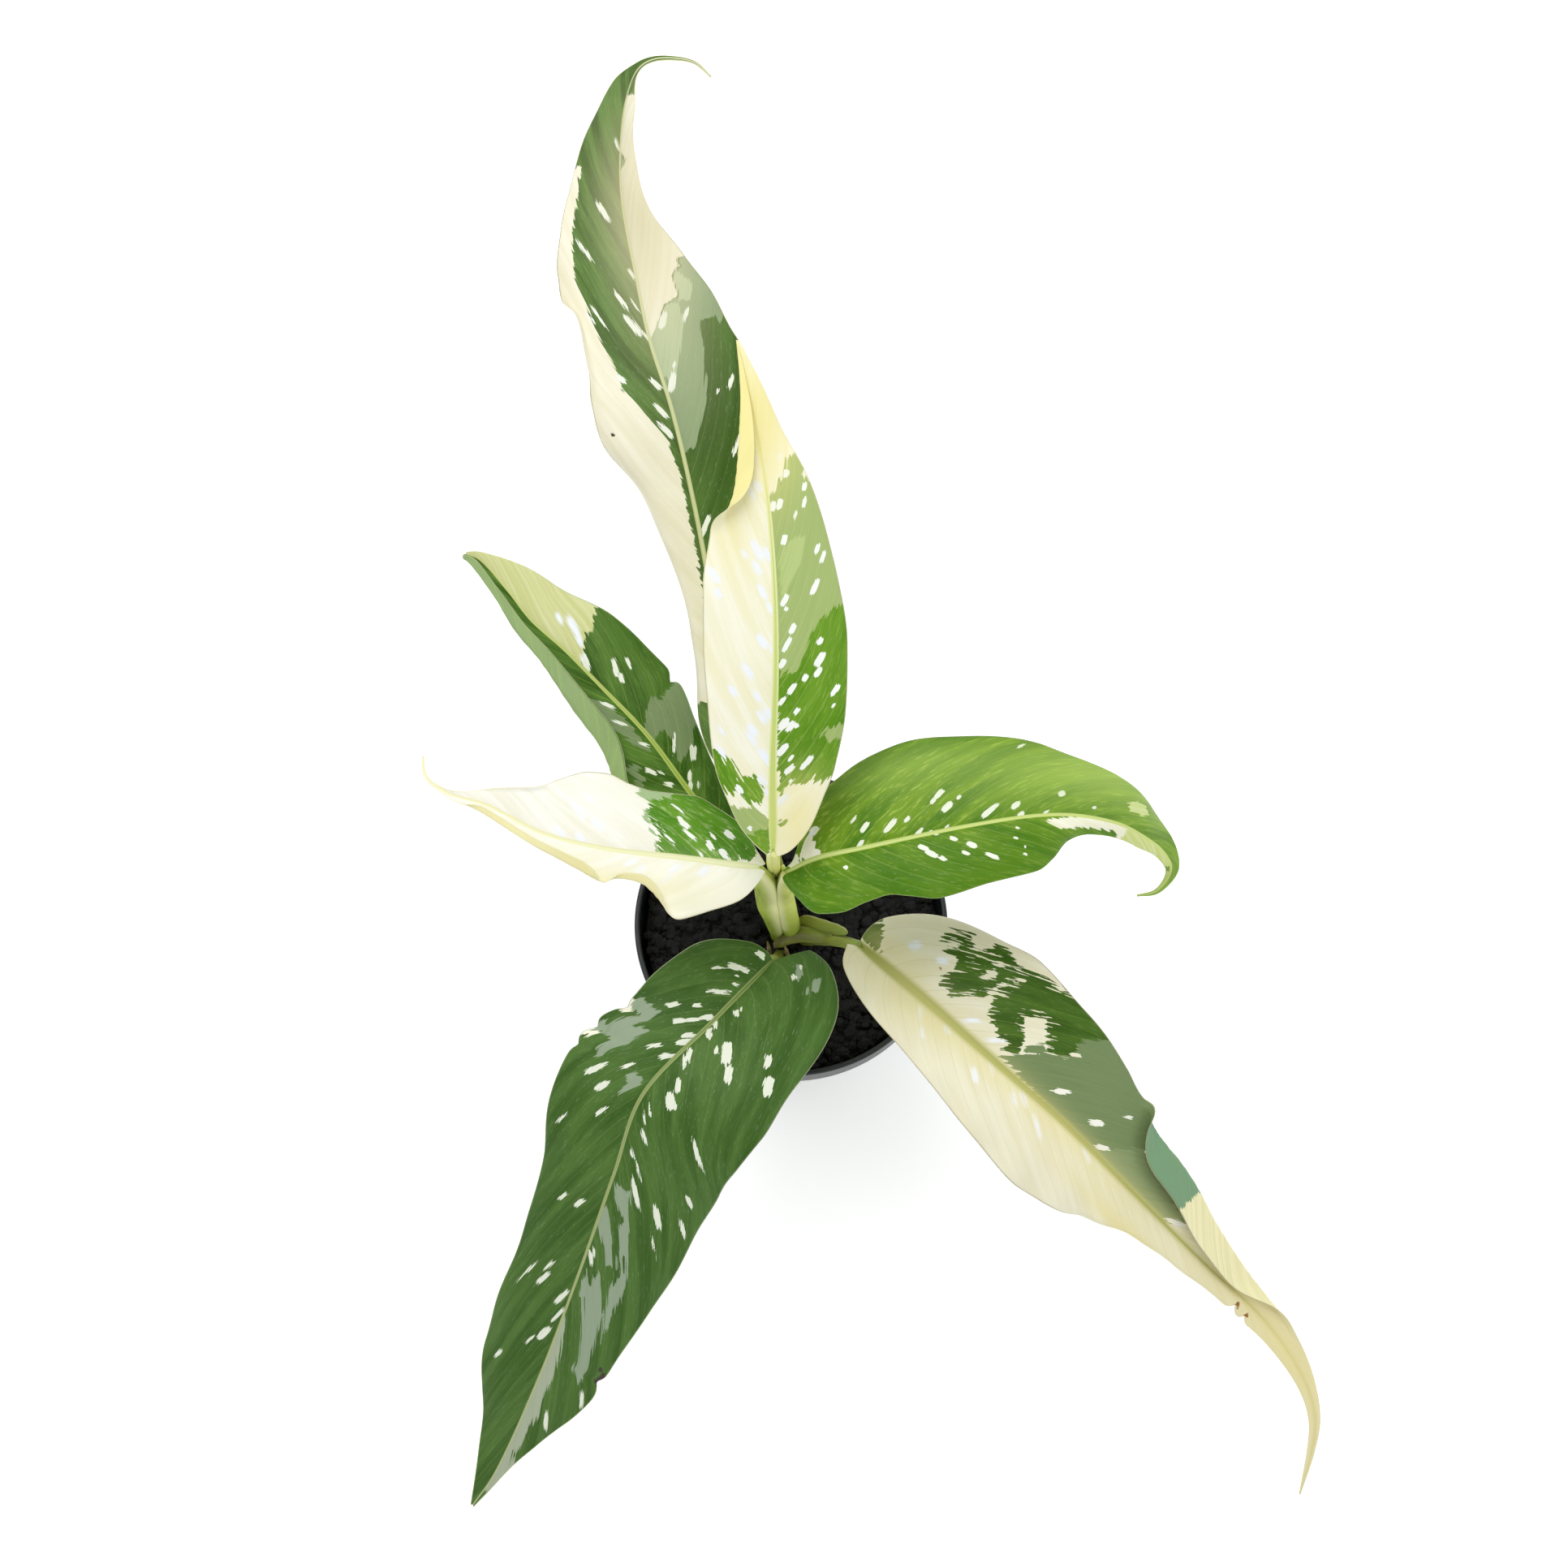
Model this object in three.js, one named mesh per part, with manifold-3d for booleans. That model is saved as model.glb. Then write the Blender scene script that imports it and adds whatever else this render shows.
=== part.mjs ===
// A variegated dumb cane in a round nursery pot: pot, potting mix, rooted cane, seven leaf stalks,
// seven blades and two dry sheath scraps. Millimetres, +Z up, +Y away from the viewer, +X right.
// The origin is the middle of the pot's underside.

import * as THREE from 'three';
import { mergeVertices } from 'three/addons/utils/BufferGeometryUtils.js';
import Module from 'manifold-3d';

const wasm = await Module();
wasm.setup();

// Driving dimensions of the pot
const POT_HEIGHT = 105;
const RIM_RADIUS = 60;
const BASE_RADIUS = 38;
const WALL = 1.3;
const FLOOR = 2;
const COLLAR_HEIGHT = 13;
const COLLAR_STEP = 2.4;
const RIM_WIDTH = 2.1;
const POT_SEGMENTS = 48;
const DRAIN_HOLES = 6;
const DRAIN_RING_RADIUS = 26;
const DRAIN_RADIUS = 4;

// Driving dimensions of the plant and its mix
const GAP = 0.3;
const MIX_TOP = 96;
const MIX_ROUGHNESS = 0.9;
const CANE_FOOT = 40;
const CANE_TOP = 102;
const CANE_RADIUS = 6.2;
const CANE_X = -2.5;
const CANE_Y = -1;
const BLADE_THICKNESS = 0.8;
const RIB_DEPTH_AT_BASE = 2.2;
const RIB_HALF_WIDTH_AT_BASE = 3;
const SMALLEST_HALF_WIDTH = 1;

// Colours, as the eye reads them on each piece
const MATERIALS = {
  pot: { color: 0x1e2328, roughness: 0.5, metalness: 0 },
  mix: { color: 0x1b191b, roughness: 1, metalness: 0 },
  cane: { color: 0x8a9a4c, roughness: 0.55, metalness: 0 },
  stalk: { color: 0xb4c274, roughness: 0.45, metalness: 0 },
  oliveStalk: { color: 0x77803e, roughness: 0.5, metalness: 0 },
  darkBlade: { color: 0x3f6f38, roughness: 0.4, metalness: 0 },
  brightBlade: { color: 0x6fa336, roughness: 0.4, metalness: 0 },
  creamBlade: { color: 0xf0e9b8, roughness: 0.45, metalness: 0 },
  drySheath: { color: 0xa58a58, roughness: 0.8, metalness: 0 },
};

// How far the cross veins sweep back (negative) or forward along the blade, in degrees
const SWEEP = [[0, -62], [0.05, -22], [0.12, 5], [0.3, 12], [0.8, 12], [1, 30]];

// Places along the midrib where a blade's cross-section is drawn
const BLADE_STATIONS = [
  0, 0.015, 0.035, 0.065, 0.1, 0.15, 0.2, 0.26, 0.32, 0.38, 0.44, 0.5, 0.56, 0.62, 0.68, 0.74, 0.8,
  0.85, 0.89, 0.93, 0.965, 1,
];

// Places across one half of a blade, from the midrib (0) to the margin (1)
const HALF_BLADE_STEPS = [0, 0.12, 0.42, 0.66, 0.84, 1];

// Each blade: its midrib in space, and for either half rows of (place along the midrib, value).
// width is millimetres from midrib to margin; inner and outer are the rise of the half, in degrees,
// at the midrib and at the margin; lip is the extra turn of a rolled margin (positive rolls it up and
// in, negative folds it down), and lipStart is where across the half that roll begins.
const BLADES = [
  {
    name: 'leaf_back',
    material: 'darkBlade',
    midrib: [[-18, 32, 193], [-26, 72, 223], [-34, 111, 244], [-42, 143, 256], [-50, 168, 261],
      [-55, 192, 263], [-60.5, 223, 262], [-61.5, 247, 258], [-60, 271, 252], [-56, 287, 246],
      [-51, 292.5, 243], [-44, 295, 240], [-36, 295, 237], [-30, 291, 234]],
    left: {
      width: [[0, 3], [0.03, 11], [0.08, 13.5], [0.16, 12.5], [0.24, 16], [0.32, 21.5], [0.38, 29],
        [0.43, 27.5], [0.47, 25], [0.52, 27], [0.58, 27.5], [0.64, 24], [0.72, 17.5], [0.8, 13.5],
        [0.86, 7.5], [0.9, 2.5], [0.94, 1.3], [1, 0.6]],
      inner: [[0, 18], [0.5, 14], [1, 10]],
      outer: [[0, -5], [0.3, -20], [0.6, -22], [0.8, -25], [1, 0]],
      lip: [[0, 0], [0.06, -30], [0.14, -80], [0.24, -75], [0.36, -40], [0.43, 0], [0.47, 70],
        [0.52, 80], [0.58, 0], [1, 0]],
      lipStart: [[0, 0.6], [0.14, 0.45], [0.35, 0.55], [0.45, 0.82], [1, 0.85]],
    },
    right: {
      width: [[0, 3], [0.03, 11], [0.08, 20], [0.16, 26], [0.24, 28], [0.32, 29], [0.38, 30],
        [0.43, 32], [0.47, 29.5], [0.52, 26], [0.58, 18.5], [0.64, 11.5], [0.72, 8], [0.8, 6],
        [0.86, 3], [0.9, 1.8], [0.94, 1.2], [1, 0.5]],
      inner: [[0, 18], [0.4, 14], [0.55, 20], [0.7, 50], [0.86, 50], [0.92, 10], [1, 0]],
      outer: [[0, -5], [0.4, -15], [0.55, 0], [0.7, 35], [0.86, 40], [1, 0]],
    },
  },
  {
    name: 'leaf_newest',
    material: 'creamBlade',
    midrib: [[-6.5, -6, 217], [-6.5, 18, 236], [-5.5, 47, 255.5], [-6, 72, 268], [-8.5, 100, 280],
      [-12.5, 122, 286.5], [-16.5, 142, 291], [-18.5, 151, 292]],
    left: {
      width: [[0, 3], [0.03, 7], [0.08, 13.5], [0.16, 20.5], [0.26, 23.5], [0.38, 25.5], [0.5, 25],
        [0.6, 21.5], [0.7, 17.5], [0.8, 12], [0.9, 5.5], [1, 0.6]],
      inner: [[0, 22], [0.5, 16], [1, 10]],
      outer: [[0, 6], [0.4, 0], [1, 0]],
      lip: [[0, 0], [0.58, 0], [0.66, 110], [0.8, 165], [0.92, 120], [1, 0]],
      lipStart: [[0, 0.7], [0.6, 0.72], [0.8, 0.5], [1, 0.4]],
    },
    right: {
      width: [[0, 3], [0.03, 8.5], [0.08, 15], [0.16, 22], [0.26, 25], [0.38, 25.5], [0.5, 22.5],
        [0.6, 19.5], [0.7, 15], [0.8, 9.5], [0.9, 5], [1, 0.6]],
      inner: [[0, 22], [0.5, 16], [1, 10]],
      outer: [[0, 2], [0.4, -18], [0.8, -15], [1, 0]],
    },
  },
  {
    name: 'leaf_back_left',
    material: 'darkBlade',
    midrib: [[-24, 13, 171], [-37, 27, 182], [-52, 45, 192], [-68, 61, 197], [-82, 75, 199.5],
      [-94, 86, 200], [-103, 98, 199], [-114.5, 112.5, 194], [-119.5, 115.5, 192]],
    left: {
      width: [[0, 3], [0.03, 5], [0.08, 13], [0.16, 20], [0.26, 27], [0.36, 25], [0.46, 23],
        [0.56, 20], [0.66, 16], [0.76, 11.5], [0.86, 9], [0.94, 6], [1, 1]],
      inner: [[0, 18], [0.5, 16], [1, 30]],
      outer: [[0, -5], [0.4, 0], [1, 30]],
      lip: [[0, 0], [0.14, 0], [0.24, 110], [0.6, 150], [0.92, 110], [1, 0]],
      lipStart: [[0, 0.7], [0.3, 0.5], [0.9, 0.45], [1, 0.5]],
    },
    right: {
      width: [[0, 3], [0.03, 7], [0.08, 11], [0.16, 14], [0.26, 18], [0.36, 23], [0.46, 23.5],
        [0.56, 22], [0.66, 18], [0.76, 14.5], [0.86, 9], [0.94, 4], [1, 1]],
      inner: [[0, 18], [0.5, 14], [1, 25]],
      outer: [[0, -15], [0.4, -15], [1, 20]],
    },
  },
  {
    name: 'leaf_left',
    material: 'creamBlade',
    midrib: [[-11.5, -7.5, 200.5], [-22, -8, 206], [-39, -7.5, 212], [-65, -5.5, 216], [-86, 0.5, 214],
      [-107, 13.5, 206], [-123, 21.5, 197], [-131, 29.5, 191], [-133, 38.5, 187]],
    left: {
      width: [[0, 3], [0.03, 7], [0.08, 14], [0.16, 20], [0.2, 20], [0.24, 15], [0.3, 12],
        [0.36, 12], [0.42, 11], [0.48, 9], [0.56, 7.5], [0.64, 6.5], [0.72, 5], [0.8, 2.5],
        [0.86, 1.3], [1, 0.6]],
      inner: [[0, 14], [0.5, 14], [1, 30]],
      outer: [[0, -20], [0.4, -14], [0.6, 0], [1, 20]],
      lip: [[0, 0], [0.26, 0], [0.32, 70], [0.38, 20], [0.44, 60], [0.56, 140], [0.72, 90], [0.8, 0],
        [1, 0]],
      lipStart: [[0, 0.8], [0.4, 0.8], [0.55, 0.65], [0.8, 0.55], [1, 0.5]],
    },
    right: {
      width: [[0, 3], [0.03, 7], [0.08, 16.5], [0.16, 23.5], [0.24, 23.5], [0.3, 25], [0.36, 27.5],
        [0.42, 27], [0.48, 24], [0.56, 17], [0.64, 11], [0.72, 5.5], [0.8, 2], [0.86, 1],
        [1, 0.5]],
      inner: [[0, 14], [0.5, 14], [1, 30]],
      outer: [[0, -10], [0.4, -8], [1, 20]],
      lip: [[0, 0], [0.5, 0], [0.6, 60], [0.7, 50], [0.78, 0], [1, 0]],
      lipStart: [[0, 0.8], [1, 0.7]],
    },
  },
  {
    name: 'leaf_right',
    material: 'brightBlade',
    midrib: [[-1.5, -9, 200], [8, -6.5, 207], [26, -5, 216], [62, 0, 225], [85, 4, 223.5],
      [99, 5.5, 219], [114, 5.5, 210], [124, 4, 200], [132, 2, 189], [136, -1.2, 180],
      [135, -4.3, 174], [131.5, -7, 169], [125.5, -7, 164]],
    left: {
      width: [[0, 3], [0.03, 8], [0.08, 21], [0.16, 32], [0.26, 35.5], [0.36, 34], [0.46, 30],
        [0.56, 24], [0.66, 18.5], [0.76, 13.5], [0.84, 6.5], [0.9, 2.5], [1, 0.7]],
      inner: [[0, 16], [0.5, 14], [1, 10]],
      outer: [[0, -5], [0.4, -18], [0.8, -20], [1, 0]],
    },
    right: {
      width: [[0, 3], [0.03, 10], [0.08, 19.5], [0.16, 20], [0.26, 24], [0.36, 22], [0.46, 20],
        [0.51, 16], [0.56, 10], [0.62, 6.5], [0.68, 5.5], [0.76, 5.5], [0.84, 3], [0.9, 2], [1, 0.6]],
      inner: [[0, 16], [0.5, 10], [0.7, -30], [0.85, -30], [1, 0]],
      outer: [[0, -8], [0.4, -25], [0.6, -60], [0.8, -75], [1, 0]],
    },
  },
  {
    name: 'leaf_front_right',
    material: 'creamBlade',
    midrib: [[26, -24, 155], [46, -44, 163], [70.5, -67, 164], [97, -89, 155], [124, -111.5, 137],
      [148.5, -130, 115], [177, -150, 87], [195, -170.5, 62], [199, -181.5, 52],
      [198.5, -192.5, 43], [195, -207, 33]],
    left: {
      width: [[0, 3], [0.03, 18], [0.08, 31], [0.12, 36], [0.16, 39], [0.24, 37], [0.32, 31.5],
        [0.38, 27.5], [0.43, 23], [0.48, 20], [0.56, 16.5], [0.64, 13], [0.72, 9], [0.8, 5],
        [0.88, 2.2], [0.95, 1.2], [1, 0.5]],
      inner: [[0, 16], [0.5, 14], [1, 20]],
      outer: [[0, -8], [0.4, -14], [0.6, 0], [1, 10]],
      lip: [[0, 0], [0.4, 0], [0.48, 90], [0.62, 150], [0.68, 110], [0.76, 0], [1, 0]],
      lipStart: [[0, 0.8], [0.45, 0.8], [0.55, 0.68], [0.64, 0.58], [0.75, 0.7], [1, 0.7]],
    },
    right: {
      width: [[0, 6], [0.03, 13.5], [0.08, 18.5], [0.16, 22], [0.24, 26], [0.32, 29.5], [0.38, 25],
        [0.43, 18.5], [0.48, 14], [0.56, 10], [0.64, 8], [0.72, 6.5], [0.8, 4.5], [0.88, 3],
        [0.95, 1.8], [1, 0.5]],
      inner: [[0, 16], [0.5, 14], [0.7, 10], [1, 10]],
      outer: [[0, -10], [0.4, -22], [0.6, -35], [0.8, -20], [1, 0]],
    },
  },
  {
    name: 'leaf_front_left',
    material: 'darkBlade',
    midrib: [[-7.5, -29.5, 155], [-28, -54, 165], [-53, -80, 161], [-63.5, -105, 145],
      [-78.5, -139, 115], [-93, -169, 87], [-112, -202, 55], [-120.5, -212, 45]],
    left: {
      width: [[0, 8], [0.02, 23], [0.05, 33], [0.08, 37], [0.13, 41], [0.18, 46], [0.24, 48],
        [0.32, 44], [0.4, 39], [0.48, 35], [0.56, 30.5], [0.64, 25.5], [0.72, 22.5], [0.76, 20],
        [0.8, 16], [0.84, 11.5], [0.9, 5], [0.95, 2.5], [1, 1]],
      inner: [[0, 16], [0.5, 12], [1, 20]],
      outer: [[0, -12], [0.4, -25], [0.8, -15], [1, 20]],
    },
    right: {
      width: [[0, 3], [0.03, 15.5], [0.08, 26], [0.13, 28], [0.18, 26.5], [0.24, 31], [0.32, 31],
        [0.4, 28], [0.48, 26.5], [0.56, 26.5], [0.64, 27], [0.72, 25.5], [0.8, 19], [0.84, 15],
        [0.9, 10], [0.95, 6], [1, 1]],
      inner: [[0, 16], [0.5, 12], [1, 20]],
      outer: [[0, -12], [0.4, -25], [0.8, -20], [1, 20]],
    },
  },
];

// Each stalk: its centre line, and rows of (place, half-width across, half-depth front to back).
// A stalk widens into its clasping sheath low down and is round where it meets its blade.
const ROUND_STALK = [[0, 2.4, 2.4], [0.4, 2.8, 2.6], [1, 2.3, 2.2]];
const CLASPING_STALK = [[0, 2.4, 2.4], [0.25, 3.4, 2.5], [0.5, 3.9, 2.5], [0.8, 3.2, 2.4],
  [1, 2.3, 2.2]];
const STALKS = [
  {
    name: 'petiole_back',
    material: 'oliveStalk',
    path: [[0.2, 3.6, 102.9], [-4, 9, 130], [-9, 18, 160], [-15, 28, 184], [-17.5, 31, 190]],
    section: ROUND_STALK,
  },
  {
    name: 'petiole_newest',
    material: 'stalk',
    path: [[-2.5, -0.6, 102.4], [-4.6, 0.4, 135], [-5.8, -1, 170], [-6.5, -4.6, 195],
      [-6.5, -6.6, 214]],
    section: [[0, 2, 2], [0.4, 2.3, 2.3], [1, 2.3, 2.2]],
  },
  {
    name: 'petiole_back_left',
    material: 'oliveStalk',
    path: [[-5.6, 3.4, 102.7], [-11, 7, 130], [-18, 10, 152], [-23.6, 12.2, 168.1]],
    section: ROUND_STALK,
  },
  {
    name: 'petiole_left',
    material: 'stalk',
    path: [[-6, -3.9, 102.4], [-8, -5, 125], [-10.3, -6, 150], [-12.3, -7, 178], [-12.4, -7.6, 197.4]],
    section: CLASPING_STALK,
  },
  {
    name: 'petiole_right',
    material: 'stalk',
    path: [[0.8, -3.9, 102.4], [-0.4, -5, 125], [-1.2, -5.8, 150], [-1.6, -7, 178],
      [-1.3, -9, 196.8]],
    section: CLASPING_STALK,
  },
  {
    name: 'petiole_front_right',
    material: 'oliveStalk',
    path: [[4.8, -5.9, 98.6], [12, -10.6, 115], [19, -17, 136.5], [25, -23.2, 152.4]],
    section: [[0, 2.2, 2.2], [0.3, 3.2, 2.6], [0.75, 3, 2.6], [1, 2.3, 2.2]],
  },
  {
    name: 'petiole_front_left',
    material: 'oliveStalk',
    path: [[-3.9, -9.6, 98.6], [-5.4, -15.5, 114], [-6.6, -22, 134], [-7.5, -29, 152]],
    section: [[0, 2.2, 2.2], [0.3, 3, 2.6], [1, 2.3, 2.2]],
  },
];
const STALK_STEPS = 12;
const STALK_SIDES = 12;

// Thick roots that leave the foot of the cane, as the direction each one runs in and how far it drops
const ROOT_HEADINGS = [25, 100, 170, 245, 310];
const ROOT_START_HEIGHT = 50;
const ROOT_REACH = 24;
const ROOT_DROP = 26;
const ROOT_RADIUS = 1.8;
const ROOT_TIP_RADIUS = 0.9;

// Dry scraps of old sheath that stand at the foot of the cane: lower end, upper end and turn
const SHEATH_SCRAPS = [
  { name: 'dry_sheath_left', foot: [-10.2, -9.4], lean: [-1.4, -4.2], height: 12, turn: 200 },
  { name: 'dry_sheath_right', foot: [1.2, -11.2], lean: [1.6, -2.6], height: 9, turn: 330 },
];
const SCRAP_RADIUS = 2.1;
const SCRAP_THICKNESS = 0.6;
const SCRAP_WRAP = 190;

const RADIANS = Math.PI / 180;

// Value at a place along rows of (place, value): a cubic with harmonic-mean slopes that never
// overshoots the rows.
function alongRows(rows, place) {
  const last = rows.length - 1;
  const at = Math.min(Math.max(place, rows[0][0]), rows[last][0]);
  const secant = (i) => (rows[i + 1][1] - rows[i][1]) / (rows[i + 1][0] - rows[i][0]);
  const slope = (i) => {
    if (i === 0) return secant(0);
    if (i === last) return secant(last - 1);
    const before = secant(i - 1);
    const after = secant(i);
    return before * after > 0 ? (2 * before * after) / (before + after) : 0;
  };
  let i = 0;
  while (i < last - 1 && at >= rows[i + 1][0]) i += 1;
  const span = rows[i + 1][0] - rows[i][0];
  const u = (at - rows[i][0]) / span;
  return (1 + 2 * u) * (1 - u) ** 2 * rows[i][1]
    + u * (1 - u) ** 2 * span * slope(i)
    + u * u * (3 - 2 * u) * rows[i + 1][1]
    + u * u * (u - 1) * span * slope(i + 1);
}

// A closed body through a list of rings. Every ring has the same even number of points, and its
// first half runs opposite its second half, so the end caps are strips between the two halves.
function loft(rings) {
  const size = rings[0].length;
  const positions = rings.flat().flatMap((p) => [p.x, p.y, p.z]);
  const index = [];
  for (let k = 0; k < rings.length - 1; k += 1) {
    for (let i = 0; i < size; i += 1) {
      const a = k * size + i;
      const b = k * size + ((i + 1) % size);
      index.push(a, b, b + size, a, b + size, a + size);
    }
  }
  const cap = (start, flip) => {
    for (let i = 0; i < size / 2 - 1; i += 1) {
      const near = [start + i, start + i + 1];
      const far = [start + size - 1 - i, start + size - 2 - i];
      const quad = [near[0], far[0], far[1], near[0], far[1], near[1]];
      if (flip) quad.reverse();
      index.push(...quad);
    }
  };
  cap(0, false);
  cap((rings.length - 1) * size, true);
  const geometry = new THREE.BufferGeometry();
  geometry.setAttribute('position', new THREE.Float32BufferAttribute(positions, 3));
  geometry.setIndex(index);
  return geometry;
}

function toVectors(points) {
  return points.map((p) => new THREE.Vector3(...p));
}

// Right-hand and upward directions across a path that runs along the given tangent
function crossFrame(tangent) {
  const right = new THREE.Vector3().crossVectors(tangent, new THREE.Vector3(0, 0, 1)).normalize();
  const up = new THREE.Vector3().crossVectors(right, tangent);
  return { right, up };
}

// One half of a blade's cross-section: points from midrib to margin, each with its upward normal
function halfSection(half, place, along, right, up, side) {
  const sweep = alongRows(SWEEP, place) * RADIANS;
  const out = right.clone().multiplyScalar(side * Math.cos(sweep))
    .addScaledVector(along, Math.sin(sweep));
  const width = Math.max(alongRows(half.width, place), SMALLEST_HALF_WIDTH);
  const inner = alongRows(half.inner, place);
  const outer = alongRows(half.outer, place);
  const lip = half.lip ? alongRows(half.lip, place) : 0;
  const lipStart = half.lip ? alongRows(half.lipStart, place) : 1;
  const rise = (t) => {
    const k = lip === 0 ? 0 : Math.min(Math.max((t - lipStart) / (1 - lipStart), 0), 1);
    return (inner + (outer - inner) * t + lip * k * k * (3 - 2 * k)) * RADIANS;
  };
  const fineSteps = 60;
  const points = [];
  let across = 0;
  let height = 0;
  let done = 0;
  for (const step of HALF_BLADE_STEPS) {
    const target = Math.round(step * fineSteps);
    for (; done < target; done += 1) {
      const angle = rise((done + 0.5) / fineSteps);
      across += (Math.cos(angle) * width) / fineSteps;
      height += (Math.sin(angle) * width) / fineSteps;
    }
    const angle = step === 0 ? 0 : rise(step);
    points.push({
      offset: out.clone().multiplyScalar(across).addScaledVector(up, height),
      normal: up.clone().multiplyScalar(Math.cos(angle)).addScaledVector(out, -Math.sin(angle)),
      fromRib: width * step,
    });
  }
  return points;
}

// A blade: a thin slab over its midrib with a rib along the underside that fades toward the tip
function bladeGeometry(blade) {
  const curve = new THREE.CatmullRomCurve3(toVectors(blade.midrib), false, 'centripetal');
  const rings = BLADE_STATIONS.map((place) => {
    const centre = curve.getPointAt(place);
    const along = curve.getTangentAt(place);
    const { right, up } = crossFrame(along);
    const leftHalf = halfSection(blade.left, place, along, right, up, -1);
    const rightHalf = halfSection(blade.right, place, along, right, up, 1);
    const row = [...leftHalf.slice(1).reverse(), ...rightHalf];
    const ribWidth = RIB_HALF_WIDTH_AT_BASE * (1 - 0.75 * place);
    const ribDepth = RIB_DEPTH_AT_BASE * (1 - place) ** 1.5;
    const surface = (point, offset) => centre.clone().add(point.offset)
      .addScaledVector(point.normal, offset);
    const top = row.map((point) => surface(point, BLADE_THICKNESS / 2));
    const bottom = row.map((point) => {
      const rib = ribDepth * Math.exp(-((point.fromRib / ribWidth) ** 2));
      return surface(point, -BLADE_THICKNESS / 2 - rib);
    });
    return [...top, ...bottom.reverse()];
  });
  return loft(rings);
}

// A rod of changing oval section along a path; grow widens it all round and at both ends
function rodGeometry(path, section, steps, sides, grow = 0) {
  const curve = new THREE.CatmullRomCurve3(toVectors(path), false, 'centripetal');
  const halfWidth = section.map((row) => [row[0], row[1] + grow]);
  const halfDepth = section.map((row) => [row[0], row[2] + grow]);
  const rings = [];
  for (let k = 0; k <= steps; k += 1) {
    const place = k / steps;
    const along = curve.getTangentAt(place);
    const centre = curve.getPointAt(place);
    if (k === 0) centre.addScaledVector(along, -grow);
    if (k === steps) centre.addScaledVector(along, grow);
    const across = new THREE.Vector3(1, 0, 0).addScaledVector(along, -along.x).normalize();
    const depth = new THREE.Vector3().crossVectors(along, across);
    const a = alongRows(halfWidth, place);
    const b = alongRows(halfDepth, place);
    const ring = [];
    for (let i = 0; i < sides; i += 1) {
      const angle = (2 * Math.PI * (i + 0.5)) / sides;
      ring.push(centre.clone().addScaledVector(across, a * Math.cos(angle))
        .addScaledVector(depth, b * Math.sin(angle)));
    }
    rings.push(ring);
  }
  return loft(rings);
}

function toSolid(geometry) {
  const bare = geometry.clone();
  bare.deleteAttribute('normal');
  bare.deleteAttribute('uv');
  const merged = mergeVertices(bare, 1e-4);
  return new wasm.Manifold(new wasm.Mesh({
    numProp: 3,
    vertProperties: new Float32Array(merged.attributes.position.array),
    triVerts: new Uint32Array(merged.index.array),
  }));
}

function toGeometry(solid) {
  const mesh = solid.getMesh();
  const geometry = new THREE.BufferGeometry();
  geometry.setAttribute('position', new THREE.Float32BufferAttribute(mesh.vertProperties, 3));
  geometry.setIndex(new THREE.BufferAttribute(mesh.triVerts, 1));
  return geometry;
}

// A body of revolution about the Z axis from (radius, height) points
function turned(profile, segments) {
  const outline = profile.map(([radius, height]) => new THREE.Vector2(radius, height));
  return new THREE.LatheGeometry(outline, segments).rotateX(Math.PI / 2);
}

const COLLAR_BOTTOM = POT_HEIGHT - COLLAR_HEIGHT;
const BODY_TOP_RADIUS = RIM_RADIUS - COLLAR_STEP;
const INNER_RIM_RADIUS = RIM_RADIUS - RIM_WIDTH;

// Inner radius of the pot's tapered body at a height
function innerRadius(height) {
  return BASE_RADIUS + ((BODY_TOP_RADIUS - BASE_RADIUS) * height) / COLLAR_BOTTOM - WALL;
}

// The pot: a tapered cup with a stepped collar, a rolled rim and a ring of drain holes in its floor
function potGeometry() {
  const collarInner = RIM_RADIUS - RIM_WIDTH;
  const profile = [
    [0, 0],
    [BASE_RADIUS - 1, 0],
    [BASE_RADIUS, 1],
    [BODY_TOP_RADIUS, COLLAR_BOTTOM],
    [RIM_RADIUS - 0.8, COLLAR_BOTTOM],
    [RIM_RADIUS - 0.4, POT_HEIGHT - 2.5],
    [RIM_RADIUS, POT_HEIGHT - 2],
    [RIM_RADIUS, POT_HEIGHT - 0.6],
    [RIM_RADIUS - 0.6, POT_HEIGHT],
    [INNER_RIM_RADIUS + 0.5, POT_HEIGHT],
    [INNER_RIM_RADIUS, POT_HEIGHT - 0.5],
    [collarInner - 0.2, COLLAR_BOTTOM + WALL],
    [innerRadius(COLLAR_BOTTOM), COLLAR_BOTTOM - WALL],
    [innerRadius(FLOOR), FLOOR],
    [0, FLOOR],
  ];
  let solid = toSolid(turned(profile, POT_SEGMENTS));
  for (let k = 0; k < DRAIN_HOLES; k += 1) {
    const angle = (2 * Math.PI * k) / DRAIN_HOLES;
    const drill = new THREE.CylinderGeometry(DRAIN_RADIUS, DRAIN_RADIUS, 3 * FLOOR, 16)
      .rotateX(Math.PI / 2)
      .translate(DRAIN_RING_RADIUS * Math.cos(angle), DRAIN_RING_RADIUS * Math.sin(angle), FLOOR / 2);
    solid = solid.subtract(toSolid(drill));
  }
  return toGeometry(solid);
}

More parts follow.
